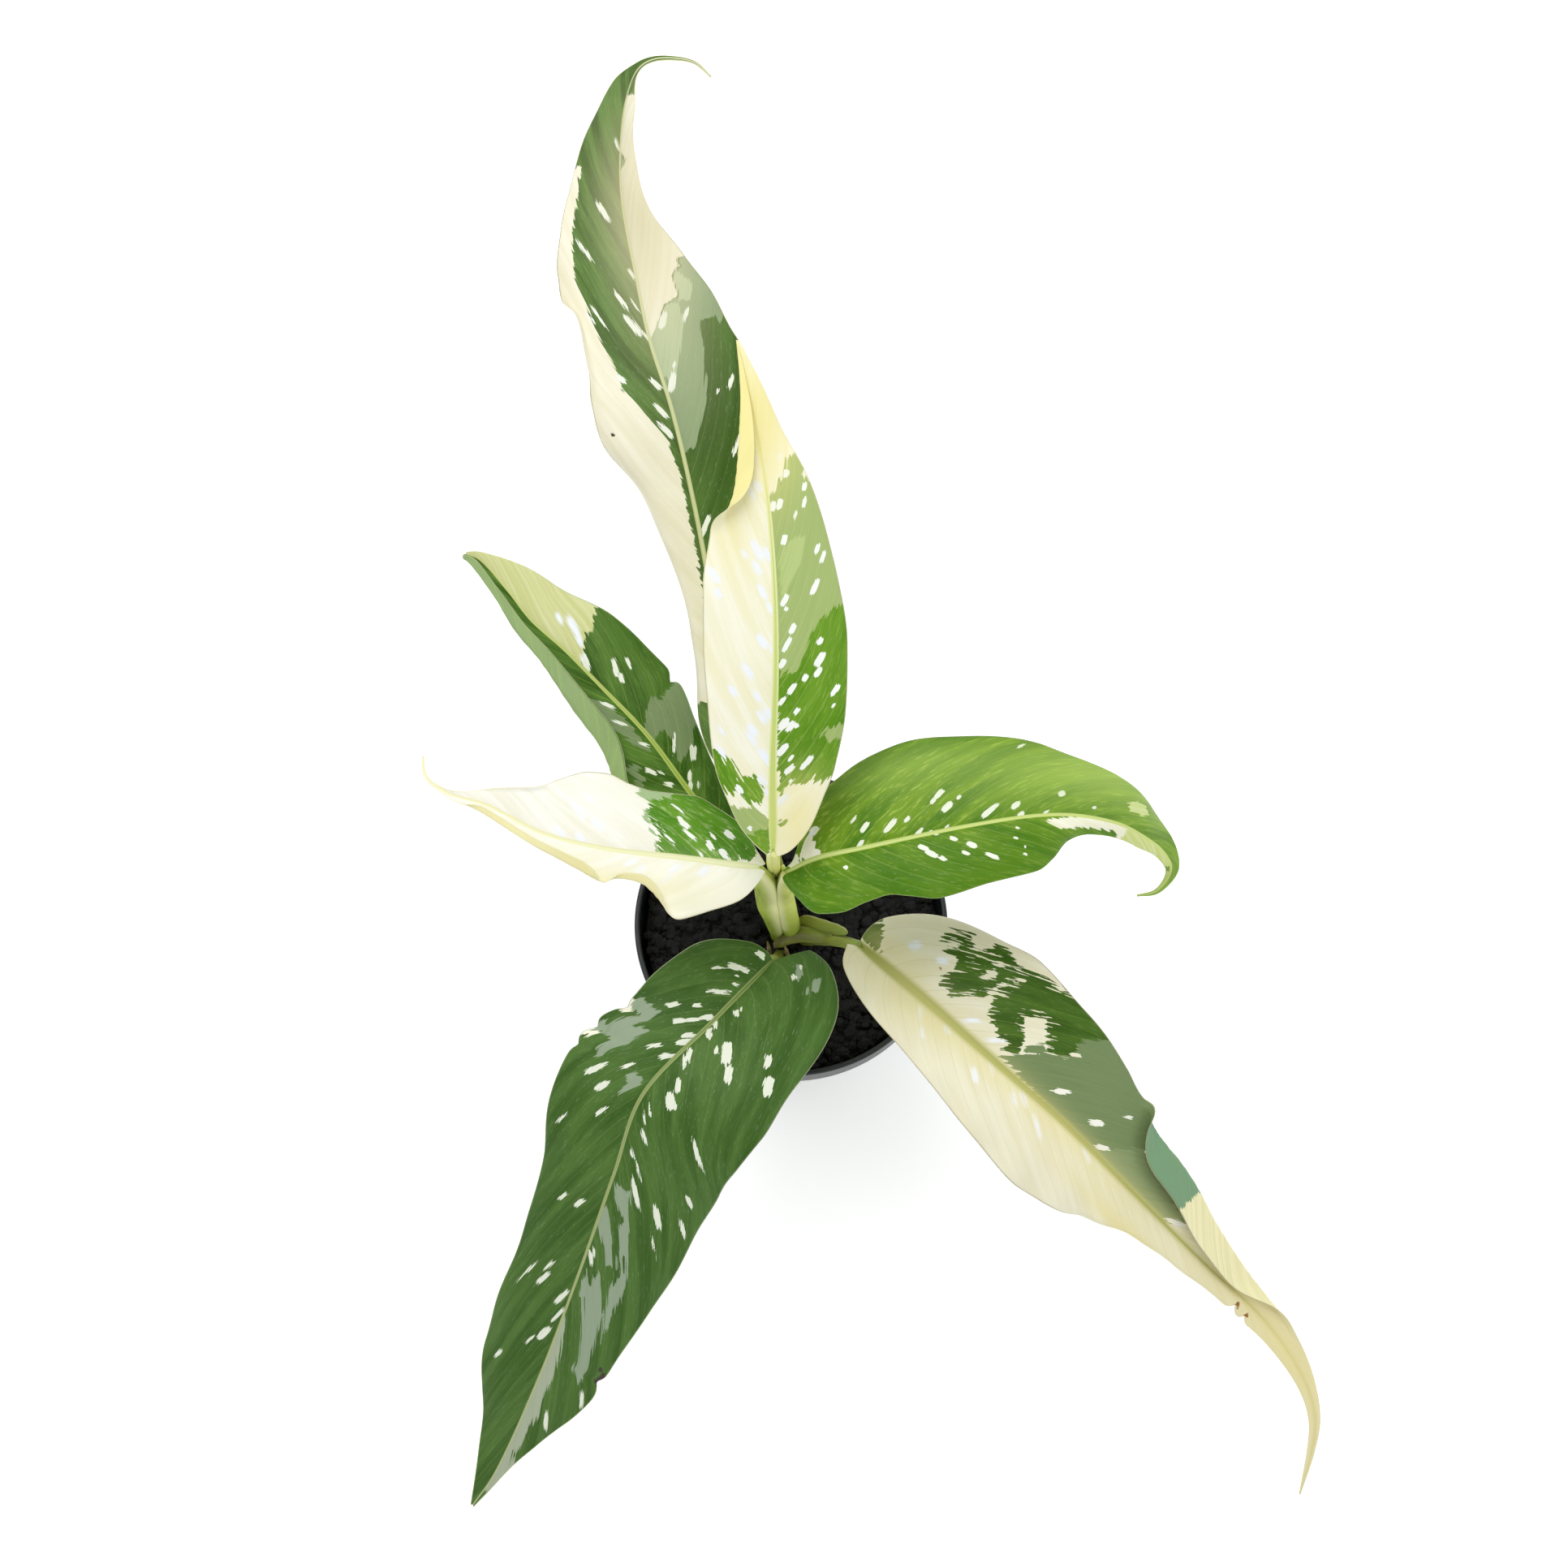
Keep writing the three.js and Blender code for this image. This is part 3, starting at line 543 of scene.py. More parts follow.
@dataclass(frozen=True)
class BladeFinish:
    """The colours of one blade and how strongly they are mixed.

    Attributes:
        ground: the tone where no patch lies.
        deep: darker green, also laid on as painted shade.
        fresh: lighter green.
        bright: fine yellow-green mottling in the green.
        mottle: how much of that mottling shows, from 0 to 1.
        cream: the cream tone.
        ivory: paler clouds in the cream.
        lime: the yellow-green tone.
        grey: the grey-green tone.
        light: the lighter grey-green tone.
        fleck: white flecks.
        rib: the midrib at the base.
        rib_tip: the midrib toward the tip.
        rib_core: the middle of the midrib.
        edge: the thin line along the margin.
        warm: warm stains.
        scorch: dry brown spots.
        under: underside of the green tissue.
        under_cream: underside of the cream tissue.
        frost: soft bluish flecks in the cream.
        jag: how ragged the patch edges are, in millimetres.
        lace: how deep cream streaks cut into a green patch, in millimetres.
        specks: how many small pale specks lie in the green, from 0 to 1.
        tuft: how ragged the white flecks are, in millimetres.
        rib_soft: how gradually the midrib's colour ends at its sides, in millimetres.
        lines: how clearly the side veins show, from 0 to 1.
    """

    ground: Tone
    deep: Colour
    fresh: Colour
    bright: Colour
    mottle: float
    cream: Colour = (240, 236, 205)
    ivory: Colour = (247, 245, 225)
    lime: Colour = (214, 218, 150)
    grey: Colour = (143, 163, 133)
    light: Colour = (176, 192, 150)
    fleck: Colour = (236, 240, 226)
    rib: Colour = (206, 214, 150)
    rib_tip: Colour = (206, 214, 150)
    rib_core: Colour = (190, 202, 130)
    edge: Colour = (214, 222, 170)
    warm: Colour = (240, 228, 160)
    scorch: Colour = (150, 96, 48)
    under: Colour = (140, 160, 118)
    under_cream: Colour = (240, 232, 176)
    frost: Colour = (240, 244, 252)
    jag: float = 2.8
    lace: float = 0.0
    specks: float = 0.3
    tuft: float = 1.7
    rib_soft: float = 0.2
    lines: float = 0.3

    def greens(self, graph: Graph) -> Socket:
        """The green tissue: two greens in soft clouds, with finer yellow-green mottling and painted shade.

        Args:
            graph: the material's graph.

        Returns:
            The colour's socket.
        """
        clouds = graph.step(graph.streaky(0.9, 0.5, 3.0), 0.35, 0.65)
        body = graph.paint(self.deep, self.fresh, clouds)
        fine = graph.step(graph.streaky(4.0, 2.6, 4.0), 0.4, 0.7, 0.0, 0.2)
        body = graph.paint(body, self.fresh, fine)
        mottling = graph.step(graph.streaky(7.0, 4.4, 5.0), 0.52, 0.68)
        patchy = graph.step(graph.streaky(0.9, 0.5), 0.38, 0.6, 0.3, 1.0)
        strength = graph.maths("MULTIPLY", graph.maths("MULTIPLY", mottling, patchy), self.mottle)
        body = graph.paint(body, self.bright, strength)
        # Painted shade: the deep green laid on where the shade stains lie
        return graph.paint(body, self.deep, graph.field("painted_shade"))

    def creams(self, graph: Graph) -> Socket:
        """The cream tissue: cream with paler clouds drawn out along the veins."""
        clouds = graph.step(graph.streaky(1.2, 0.5, 3.0), 0.35, 0.68)
        return graph.paint(self.cream, self.ivory, clouds)

    def greys(self, graph: Graph, tone: Colour) -> Socket:
        """Grey-green tissue: one tone with a few darker threads along the veins."""
        threads = graph.step(graph.streaky(4.0, 1.2, 3.0), 0.5, 0.75, 0.0, 0.16)
        return graph.paint(tone, self.fresh, threads)

    def tissue(self, graph: Graph, tone: Tone) -> Socket:
        """The colour of one tone.

        Args:
            graph: the material's graph.
            tone: the tone.

        Returns:
            The colour's socket.
        """
        if tone is GREEN:
            return self.greens(graph)
        if tone is CREAM:
            return self.creams(graph)
        if tone is GREY:
            return self.greys(graph, self.grey)
        if tone is LIGHT:
            return self.greys(graph, self.light)
        clouds = graph.step(graph.streaky(2.0, 0.8, 3.0), 0.35, 0.8, 0.0, 0.7)
        return graph.paint(self.lime, self.cream, clouds)

    def ragged(self, graph: Graph) -> Socket:
        """How far the patch edges run out or in here, in millimetres.

        Args:
            graph: the material's graph.

        Returns:
            The socket of coarse fingers along the veins plus fine teeth.
        """
        fingers = graph.maths("SUBTRACT", graph.streaky(4.2, 0.9, 2.0), 0.5)
        teeth = graph.maths("SUBTRACT", graph.streaky(13.0, 3.0, 2.0), 0.5)
        coarse = graph.maths("MULTIPLY", fingers, 2.2 * self.jag)
        return graph.maths("ADD", coarse, graph.maths("MULTIPLY", teeth, 0.9 * self.jag))

    def material(self, name: str) -> Material:
        """Builds the blade's material.

        Each tone covers the last where its depth plus the raggedness is above zero. Specks, flecks,
        veins, midrib, margin, stains and the underside's tint follow.

        Args:
            name: the material's name.

        Returns:
            The material.
        """
        graph = Graph(name)
        ragged = self.ragged(graph)
        colour = self.tissue(graph, self.ground)
        pale = 1.0 if self.ground is CREAM else 0.0
        for tone in Tone:
            if tone is self.ground:
                continue
            edge = graph.maths("ADD", graph.field(tone.value), ragged)
            if tone is GREEN and self.lace > 0:
                holes = graph.step(graph.streaky(8.0, 2.2, 3.0), 0.53, 0.72, 0.0, self.lace)
                edge = graph.maths("SUBTRACT", edge, holes)
            mask = graph.step(edge, -0.1, 0.1)
            colour = graph.paint(colour, self.tissue(graph, tone), mask)
            shade = 0.0 if tone in (GREEN, GREY, LIGHT) else 1.0
            span = graph.maths("MULTIPLY", mask, graph.maths("SUBTRACT", shade, pale))
            pale = graph.maths("ADD", span, pale)
        dark = graph.maths("SUBTRACT", 1.0, pale)

        specks = graph.step(graph.streaky(15.0, 6.0, 2.0), 0.64, 0.7, 0.0, self.specks)
        colour = graph.paint(colour, self.light, graph.maths("MULTIPLY", specks, dark))
        tuft = graph.maths("SUBTRACT", graph.streaky(11.0, 4.0, 2.0), 0.5)
        tuft = graph.maths("MULTIPLY", tuft, self.tuft)
        fleck = graph.maths("ADD", graph.field("fleck"), tuft)
        frosted = graph.maths("MULTIPLY", graph.step(fleck, -0.6, 0.4), pale)
        colour = graph.paint(colour, self.frost, frosted)
        white = graph.maths("MULTIPLY", graph.step(fleck, -0.08, 0.08), dark)
        colour = graph.paint(colour, self.fleck, white)

        position = graph.part(graph.flow(), "X")
        vein_distance = graph.maths("PINGPONG", position, VEIN_SPACING * CM / 2)
        vein = graph.step(vein_distance, 0.0, 0.05, self.lines, 0.0)
        thread = graph.step(graph.streaky(22.0, 0.4, 1.0), 0.5, 0.75, 0.0, 0.25 * self.lines)
        lines = graph.maths("MULTIPLY", graph.maths("MAXIMUM", vein, thread), graph.field("veined"))
        colour = graph.paint(colour, self.rib, lines)

        rib = graph.field("rib")
        rib_colour = graph.paint(self.rib, self.rib_tip, graph.field("along"))
        core = graph.step(rib, 0.45, 0.8)
        rib_colour = graph.paint(rib_colour, self.rib_core, core)
        colour = graph.paint(colour, rib_colour, graph.step(rib, -self.rib_soft, self.rib_soft))
        colour = graph.paint(colour, self.edge, graph.step(graph.field("rim"), 0.1, 0.5, 0.85, 0.0))
        colour = graph.paint(colour, self.warm, graph.field("warm"))
        scorch_noise = graph.maths("SUBTRACT", graph.noise(graph.place(), 900.0, 3.0), 0.5)
        scorch = graph.maths("ADD", graph.field("scorch"), graph.maths("MULTIPLY", scorch_noise, 0.8))
        colour = graph.paint(colour, self.scorch, graph.step(scorch, 0.35, 0.7))
        below = graph.paint(self.under_cream, self.under, dark)
        colour = graph.paint(colour, below, graph.maths("MULTIPLY", graph.field("under"), 0.7))
        ribs = graph.step(graph.streaky(16.0, 0.3, 2.0), 0.48, 0.66, 0.0, 0.3)
        colour = graph.paint(colour, self.rib, graph.maths("MULTIPLY", ribs, graph.field("under")))

        graph.shader.inputs["Specular IOR Level"].default_value = 0.16
        pores = graph.noise(graph.place(), 1400.0, 3.0)
        relief = graph.maths("ADD", graph.maths("MULTIPLY", pores, 0.5), graph.streaky(12.0, 1.5, 2.0))
        graph.bump(relief, 0.00035, 0.25)
        gloss = graph.step(graph.noise(graph.place(), 60.0, 3.0), 0.3, 0.7, 0.42, 0.56)
        return graph.finish(colour, gloss)


@dataclass(frozen=True)
class StalkFinish:
    """The colours of one fleshy stalk.

    Attributes:
        low: the colour at its foot.
        high: the colour at its top.
        streak: the darker streaks that run along it.
        fold: the pale tone on a ridge, partly the sheath's pale edge and partly a painted highlight.
        shade: the greyish shadow tone in the seams.
    """

    low: Colour
    high: Colour
    streak: Colour
    fold: Colour = (232, 236, 196)
    shade: Colour = (138, 116, 104)

    def material(self, name: str) -> Material:
        """Builds the stalk's material: a slow change of colour with fine streaks along the stalk.

        Args:
            name: the material's name.

        Returns:
            The material.
        """
        graph = Graph(name)
        colour = graph.paint(self.low, self.high, graph.field("along"))
        streaks = graph.step(graph.streaky(9.0, 0.5, 4.0), 0.45, 0.7, 0.0, 0.45)
        colour = graph.paint(colour, self.streak, streaks)
        blotches = graph.step(graph.noise(graph.place(), 160.0, 4.0), 0.45, 0.7, 0.0, 0.35)
        colour = graph.paint(colour, self.low, blotches)
        # Painted shade in the seams, where one sheath laps over another
        colour = graph.paint(colour, self.shade, graph.field("seam"))
        # Pale tone on the ridges: partly the sheath's pale edge, partly a painted highlight
        colour = graph.paint(colour, self.fold, graph.field("fold"))
        grooves = graph.streaky(14.0, 0.7, 2.0)
        graph.bump(graph.maths("ADD", grooves, graph.noise(graph.place(), 900.0)), 0.0003, 0.4)
        graph.shader.inputs["Specular IOR Level"].default_value = 0.4
        gloss = graph.step(graph.noise(graph.place(), 90.0, 3.0), 0.3, 0.7, 0.34, 0.5)
        return graph.finish(colour, gloss)


@dataclass(frozen=True)
class PlasticFinish:
    """Black moulded plastic with a faint bluish sheen, dusty in places.

    Attributes:
        body: the plastic's colour.
        dust: the colour of the fine dust on it.
    """

    body: Colour = (22, 26, 32)
    dust: Colour = (78, 82, 88)

    def material(self, name: str) -> Material:
        """Builds the plastic: fine moulded grain, dust in clouds and a few scuffs.

        Args:
            name: the material's name.

        Returns:
            The material.
        """
        graph = Graph(name)
        place = graph.place()
        dust = graph.step(graph.noise(place, 55.0, 5.0, 0.65), 0.5, 0.8, 0.0, 0.4)
        colour = graph.paint(self.body, self.dust, dust)
        scuffs = graph.step(graph.noise(graph.stretched(place, (1.0, 1.0, 9.0)), 130.0, 3.0), 0.66, 0.74)
        colour = graph.paint(colour, self.dust, graph.maths("MULTIPLY", scuffs, 0.3))
        graph.bump(graph.noise(place, 2600.0, 2.0), 0.0002, 0.35)
        return graph.finish(colour, graph.step(dust, 0.0, 0.4, 0.38, 0.6))


@dataclass(frozen=True)
class GritFinish:
    """Dark mineral grit whose grains differ a little, with a few brown chips among them.

    Attributes:
        dark: the darkest grains.
        pale: the palest grains.
        chip: the brown chips.
        dust: the greyish bloom on rough faces.
    """

    dark: Colour = (11, 10, 12)
    pale: Colour = (54, 51, 58)
    chip: Colour = (134, 78, 50)
    dust: Colour = (88, 84, 94)

    def material(self, name: str, grained: bool) -> Material:
        """Builds the grit.

        Args:
            name: the material's name.
            grained: True for the loose grains, which carry their own tint and chip values.

        Returns:
            The material.
        """
        graph = Graph(name)
        place = graph.place()
        coarse = graph.noise(place, 420.0, 4.0, 0.65)
        spread = graph.cells(place, 330.0)
        if grained:
            spread = graph.maths("MULTIPLY", graph.field("tint"), 0.75)
        share = graph.maths("MULTIPLY", spread, graph.step(coarse, 0.3, 0.8))
        colour = graph.paint(self.dark, self.pale, share)
        bloom = graph.step(graph.noise(place, 2300.0, 3.0, 0.7), 0.58, 0.78, 0.0, 0.4)
        colour = graph.paint(colour, self.dust, bloom)
        if grained:
            colour = graph.paint(colour, self.chip, graph.field("chip"))
        graph.bump(graph.noise(place, 1500.0, 4.0, 0.7), 0.0008, 0.9)
        return graph.finish(colour, graph.step(coarse, 0.3, 0.7, 0.72, 0.95))


@dataclass(frozen=True)
class HuskFinish:
    """Dry, papery old sheath.

    Attributes:
        body: its tan colour.
        dark: the darker fibres.
        edge: the bleached patches.
    """

    body: Colour = (172, 150, 96)
    dark: Colour = (104, 84, 44)
    edge: Colour = (222, 206, 164)

    def material(self, name: str) -> Material:
        """Builds the husk: fibres that run along it, with bleached patches.

        Args:
            name: the material's name.

        Returns:
            The material.
        """
        graph = Graph(name)
        fibres = graph.step(graph.streaky(14.0, 1.0, 4.0), 0.4, 0.65)
        colour = graph.paint(self.body, self.dark, graph.maths("MULTIPLY", fibres, 0.8))
        blotch = graph.step(graph.noise(graph.place(), 260.0, 3.0), 0.52, 0.68)
        colour = graph.paint(colour, self.edge, blotch)
        graph.bump(graph.streaky(16.0, 1.0, 3.0), 0.0006, 0.8)
        return graph.finish(colour, graph.step(fibres, 0.0, 1.0, 0.62, 0.9))


@dataclass(frozen=True)
class Half:
    """One half of a blade, from the midrib to the margin, as rows of (place along, value).

    Attributes:
        width: millimetres from midrib to margin.
        inner: rise of the half at the midrib, in degrees.
        outer: rise of the half at the margin, in degrees.
        lip: extra turn of a rolled margin, in degrees, positive where it rolls up and in.
        lip_start: share of the width where that roll begins.
        lip_span: share of the rest of the width over which it turns. The strip beyond it lies flat.
        ripple: height of the margin's waves, in millimetres.
        ripple_length: length of one wave, in millimetres.
        nicks: torn places as (millimetres along, share of the width lost, half-length in millimetres).
    """

    width: Rows
    inner: Rows
    outer: Rows
    lip: Rows = ((0, 0), (1, 0))
    lip_start: Rows = ((0, 0.8), (1, 0.8))
    lip_span: float = 1.0
    ripple: Rows = ((0, 0), (0.1, 0.5), (0.8, 0.5), (1, 0))
    ripple_length: float = 38.0
    nicks: tuple[tuple[float, float, float], ...] = ()

    def widths(self, places: Array) -> Array:
        """Millimetres from midrib to margin at places along the blade."""
        return np.maximum(along_rows(self.width, places), SMALLEST_HALF_WIDTH)

    def torn(self, distance: Array) -> Array:
        """Share of the width that is left: 1, less a bell over each nick.

        Args:
            distance: millimetres along the blade.

        Returns:
            One share for each distance.
        """
        left = np.ones_like(distance)
        for middle, depth, half_length in self.nicks:
            left = left - depth * np.exp(-(np.abs((distance - middle) / half_length) ** 1.5))
        return left

    def section(self, places: Array, shares: Array) -> tuple[Array, Array, Array]:
        """Cross-section of the half for a width of 1.

        The rise runs straight from inner to outer, plus the lip along an S-curve. Outward and upward
        reach are the running sums of its cosine and sine.

        Args:
            places: places along the blade.
            shares: places across the half, from 0 at the midrib to 1 at the margin.

        Returns:
            Outward reach, upward reach and rise in radians, each of shape (places, shares).
        """
        fine = 120
        middle = ((np.arange(fine) + 0.5) / fine)[None]
        inner = along_rows(self.inner, places)[:, None]
        outer = along_rows(self.outer, places)[:, None]
        lip = along_rows(self.lip, places)[:, None]
        start = along_rows(self.lip_start, places)[:, None]
        roll = np.clip((middle - start) / ((1 - start) * self.lip_span + 1e-9), 0, 1)
        rise = np.radians(inner + (outer - inner) * middle + lip * roll * roll * (3 - 2 * roll))
        none = np.zeros((len(places), 1))
        out = np.concatenate([none, np.cumsum(np.cos(rise), axis=1) / fine], axis=1)
        high = np.concatenate([none, np.cumsum(np.sin(rise), axis=1) / fine], axis=1)
        rise = np.concatenate([rise[:, :1], rise], axis=1)
        step = shares * fine
        low = np.clip(np.floor(step).astype(int), 0, fine - 1)
        part = step - low

        def pick(table: Array) -> Array:
            """Reads a table between its columns."""
            return table[:, low] * (1 - part) + table[:, low + 1] * part

        return pick(out), pick(high), pick(rise)


@dataclass(frozen=True)
class Patch:
    """A patch of one tone: an outline in the blade's flat millimetres.

    Attributes:
        tone: what it is coloured with.
        outline: corners as (along the midrib, across it with the left half negative).
    """

    tone: Tone
    outline: Rows

    def depth(self, along: Array, across: Array, corners: Array) -> Array:
        """How deep each point lies inside the patch, in millimetres, negative outside it.

        It is the distance to the nearest side of the outline, whose sign comes from how many sides a
        line from the point crosses. The other half of the blade is far outside.

        Args:
            along: millimetres along the midrib.
            across: millimetres across it.
            corners: the outline's corners, moved past the midrib and the margin.

        Returns:
            One depth for each point.
        """
        side = self.side()
        nearest = np.full(along.shape, 1e9)
        inside = np.zeros(along.shape, bool)
        for start, end in zip(corners, np.roll(corners, -1, axis=0)):
            step = end - start
            share = ((along - start[0]) * step[0] + (across - start[1]) * step[1]) / (step @ step + 1e-9)
            share = np.clip(share, 0, 1)
            gap = np.hypot(along - start[0] - share * step[0], across - start[1] - share * step[1])
            nearest = np.minimum(nearest, gap)
            crosses = (start[1] > across) != (end[1] > across)
            rise = step[1] if step[1] != 0 else 1e-9
            inside ^= crosses & (along < start[0] + (across - start[1]) * step[0] / rise)
        depth = np.where(inside, nearest, -nearest)
        return np.where(across * side < 0, FAR_OUTSIDE, depth)

    def side(self) -> float:
        """1 where the patch lies on the right half, -1 where it lies on the left half."""
        return 1.0 if sum(across for _, across in self.outline) > 0 else -1.0


@dataclass(frozen=True)
class Stain:
    """A soft-edged stain on a blade.

    Attributes:
        along: millimetres along the midrib.
        across: millimetres across it, the left half negative.
        length: half-length along, in millimetres.
        width: half-width across, in millimetres.
        strength: how strong it is in its middle, from 0 to 1.
    """

    along: float
    across: float
    length: float
    width: float
    strength: float

    def depth(self, along: Array, across: Array) -> Array:
        """Strength at each point: a bell over both directions."""
        bell = ((along - self.along) / self.length) ** 2 + ((across - self.across) / self.width) ** 2
        return self.strength * np.exp(-bell)


@dataclass(frozen=True)
class Blade:
    """One blade: a thin closed sheet over its midrib, with a keel below and veins pressed in above.

    Attributes:
        midrib: points of the midrib in space.
        left: its left half, as seen from the stalk toward the tip.
        right: its right half.
        patches: patches in the order in which they are laid on.
        flecks: white flecks as (along, across, length along the veins, width), in millimetres.
        warm: warm stains.
        painted_shade: places where the green is darker, as painted shade.
        scorch: dry brown spots.
        rib_width: half-width of the pale midrib at the base and at the tip, in millimetres.
        rows: points along the blade.
        columns: points across it, an odd number.
        steady: share of the length over which the cross lines' direction is averaged, so that they do
            not meet inside a bend of the midrib.
    """

    midrib: tuple[Point, ...]
    left: Half
    right: Half
    patches: tuple[Patch, ...]
    flecks: tuple[tuple[float, float, float, float], ...]
    warm: tuple[Stain, ...] = ()
    painted_shade: tuple[Stain, ...] = ()
    scorch: tuple[Stain, ...] = ()
    rib_width: tuple[float, float] = (1.4, 0.25)
    rows: int = 300
    columns: int = 81
    steady: float = 0.0

    def grid(self) -> tuple[Array, Array]:
        """Places along the midrib from 0 to 1, and places across from -1 to 1, closer at the midrib."""
        across = np.linspace(-1, 1, self.columns)
        return np.linspace(0, 1, self.rows), np.sign(across) * np.abs(across) ** 1.12

    def steadied(self, forward: Array) -> Array:
        """Averages each direction with its neighbours under a bell.

        Args:
            forward: the midrib's directions.

        Returns:
            The calmer directions.
        """
        reach = int(self.steady * self.rows)
        if reach == 0:
            return forward
        bell = np.hanning(2 * reach + 3)[1:-1]
        padded = np.pad(forward, ((reach, reach), (0, 0)), mode="edge")
        axes = [np.convolve(padded[:, k], bell, mode="valid") for k in range(3)]
        return unit(np.stack(axes, axis=-1))

    def surface(self) -> tuple[Array, Array, Array, Array, float]:
        """The blade's smooth middle surface.

        A point is the midrib's point, plus the half's outward reach along the leaning cross line, plus
        its upward reach along the midrib's own up, plus the margin's ripple.

        Returns:
            Points and upward normals of shape (rows, columns, 3), millimetres across and to the
            margin of shape (rows, columns), and the midrib's length.
        """
        places, across = self.grid()
        centre, forward, length = SpaceCurve(self.midrib).frames(places)
        forward = self.steadied(forward)
        right = unit(np.cross(forward, (0.0, 0.0, 1.0)))
        up = np.cross(right, forward)
        lean = np.radians(along_rows(SWEEP, places))[:, None]
        points = np.zeros((len(places), len(across), 3))
        normals = np.zeros_like(points)
        flat = np.zeros(points.shape[:2])
        margin = np.zeros_like(flat)
        for side, half in ((-1.0, self.left), (1.0, self.right)):
            chosen = np.where(across * side > 0)[0] if side < 0 else np.where(across >= 0)[0]
            shares = np.abs(across[chosen])
            out, high, rise = half.section(places, shares)
            width = half.widths(places)
            real = (width * half.torn(places * length))[:, None, None]
            outward = side * right * np.cos(lean) + forward * np.sin(lean)
            points[:, chosen] = centre[:, None] + real * (
                out[..., None] * outward[:, None] + high[..., None] * up[:, None]
            )
            turn = rise[..., None]
            normals[:, chosen] = up[:, None] * np.cos(turn) - outward[:, None] * np.sin(turn)
            flat[:, chosen] = width[:, None] * shares * side
            margin[:, chosen] = width[:, None] * (1 - shares)
            wave = along_rows(half.ripple, places)[:, None] * shares**2.4
            phase = 2 * math.pi * places[:, None] * length / half.ripple_length
            points[:, chosen] += (wave * np.sin(phase))[..., None] * normals[:, chosen]
        return points, normals, flat, margin, length

    def fleck_depth(self, along: Array, across: Array, length: float) -> Array:
        """How deep each point lies inside a fleck, in millimetres, negative outside all of them.

        A fleck is a blunt oval along its side vein: its half-width times one minus the cube root of
        the summed cubes of a point's shares of the half-length and the half-width.

        Args:
            along: millimetres along the midrib.
            across: millimetres across it.
            length: the midrib's length.

        Returns:
            One depth for each point.
        """
        depth = np.full(along.shape, FAR_OUTSIDE)
        for middle, out, size, width in self.flecks:
            lean = float(along_rows(VEIN_LEAN, np.array([middle / length]))[0])
            step = np.array([lean, 1.0 if out >= 0 else -1.0])
            step = step / np.hypot(*step)
            run = (along - middle) * step[0] + (across - out) * step[1]
            gap = (along - middle) * step[1] - (across - out) * step[0]
            share = np.abs(2.3 * run / size) ** 3 + np.abs(1.9 * gap / width) ** 3
            inside = 0.45 * width * (1 - np.cbrt(share))
            depth = np.maximum(depth, np.where(across * out < -0.5, FAR_OUTSIDE, inside))
        return depth

    def stretched_corners(self, patch: Patch, length: float) -> Array:
        """A patch's corners, with those close to the midrib or the margin moved well past it.

        Args:
            patch: the patch.
            length: the midrib's length.

        Returns:
            An array of shape (corners, 2).
        """
        side = patch.side()
        half = self.right if side > 0 else self.left
        corners = np.asarray(patch.outline, float)
        out = corners[:, 1] * side
        width = half.widths(corners[:, 0] / length)
        out = np.where(out < 1.2, -6.0, np.where(out > width - 1.6, width + 9.0, out))
        return np.stack([corners[:, 0], out * side], axis=-1)

    def tone_depths(self, along: Array, across: Array, ground: Tone) -> dict[str, Array]:
        """How deep each point lies in each tone, in millimetres.

        A patch of another tone adds to that tone, and one of the ground tone cuts a hole in the others.

        Args:
            along: millimetres along the midrib.
            across: millimetres across it.
            ground: the tone where no patch lies.

        Returns:
            One array for each tone but the ground.
        """
        depths = {tone: np.full(along.shape, FAR_OUTSIDE) for tone in Tone if tone is not ground}
        length = float(along.max())
        for patch in self.patches:
            depth = patch.depth(along, across, self.stretched_corners(patch, length))
            if patch.tone is ground:
                depths = {tone: np.minimum(value, -depth) for tone, value in depths.items()}
            else:
                depths[patch.tone] = np.maximum(depths[patch.tone], depth)
        return {tone.value: value for tone, value in depths.items()}

    def shape(self, ground: Tone) -> Shape:
        """The closed sheet with everything its material reads.

        The middle surface is pressed in along the midrib and the side veins, then moved up and down
        along its normal by half the thickness, with the keel added below. A point's vein leaves the
        midrib at the place along, less the vein's lean times the distance out, less its bend.

        Args:
            ground: the tone where no patch lies.

        Returns:
            The shape.
        """
        points, normals, flat, margin, length = self.surface()
        places = self.grid()[0][:, None]
        along = np.broadcast_to(places * length, flat.shape)
        out = np.abs(flat)
        vein = along - along_rows(VEIN_LEAN, places) * out - VEIN_BEND * out**2
        rib_half = self.rib_width[0] + (self.rib_width[1] - self.rib_width[0]) * places**0.6
        keel_half = RIB_HALF_WIDTH_AT_BASE * (1 - 0.75 * places)
        channel = RIB_CHANNEL * (1 - places) * np.exp(-((out / (rib_half + 0.6)) ** 2))
        swell = np.abs(np.sin(math.pi * vein / VEIN_SPACING)) - 0.6
        room = smooth(out, 1.0, 7.0) * smooth(margin, 0.0, 6.0)
        thin = np.minimum(1.0, (margin / 3.0) ** 0.5)
        thickness = EDGE_THICKNESS + (BLADE_THICKNESS - EDGE_THICKNESS) * thin
        keel = RIB_DEPTH_AT_BASE * (1 - places) ** 1.5 * np.exp(-((out / keel_half) ** 2))
        relief = VEIN_SWELL * swell * room - channel
        above = relief + thickness / 2
        above[:, [0, -1]] = 0.0
        fading = 0.3 + 0.7 * np.exp(-out / 11.0)
        values = self.tone_depths(along, flat, ground)
        values["fleck"] = self.fleck_depth(along, flat, length)
        values["rib"] = rib_half - out
        values["rim"] = margin
        values["along"] = places
        values["veined"] = fading * smooth(out, 0.5, 2.5) * smooth(margin, 0.0, 5.0)
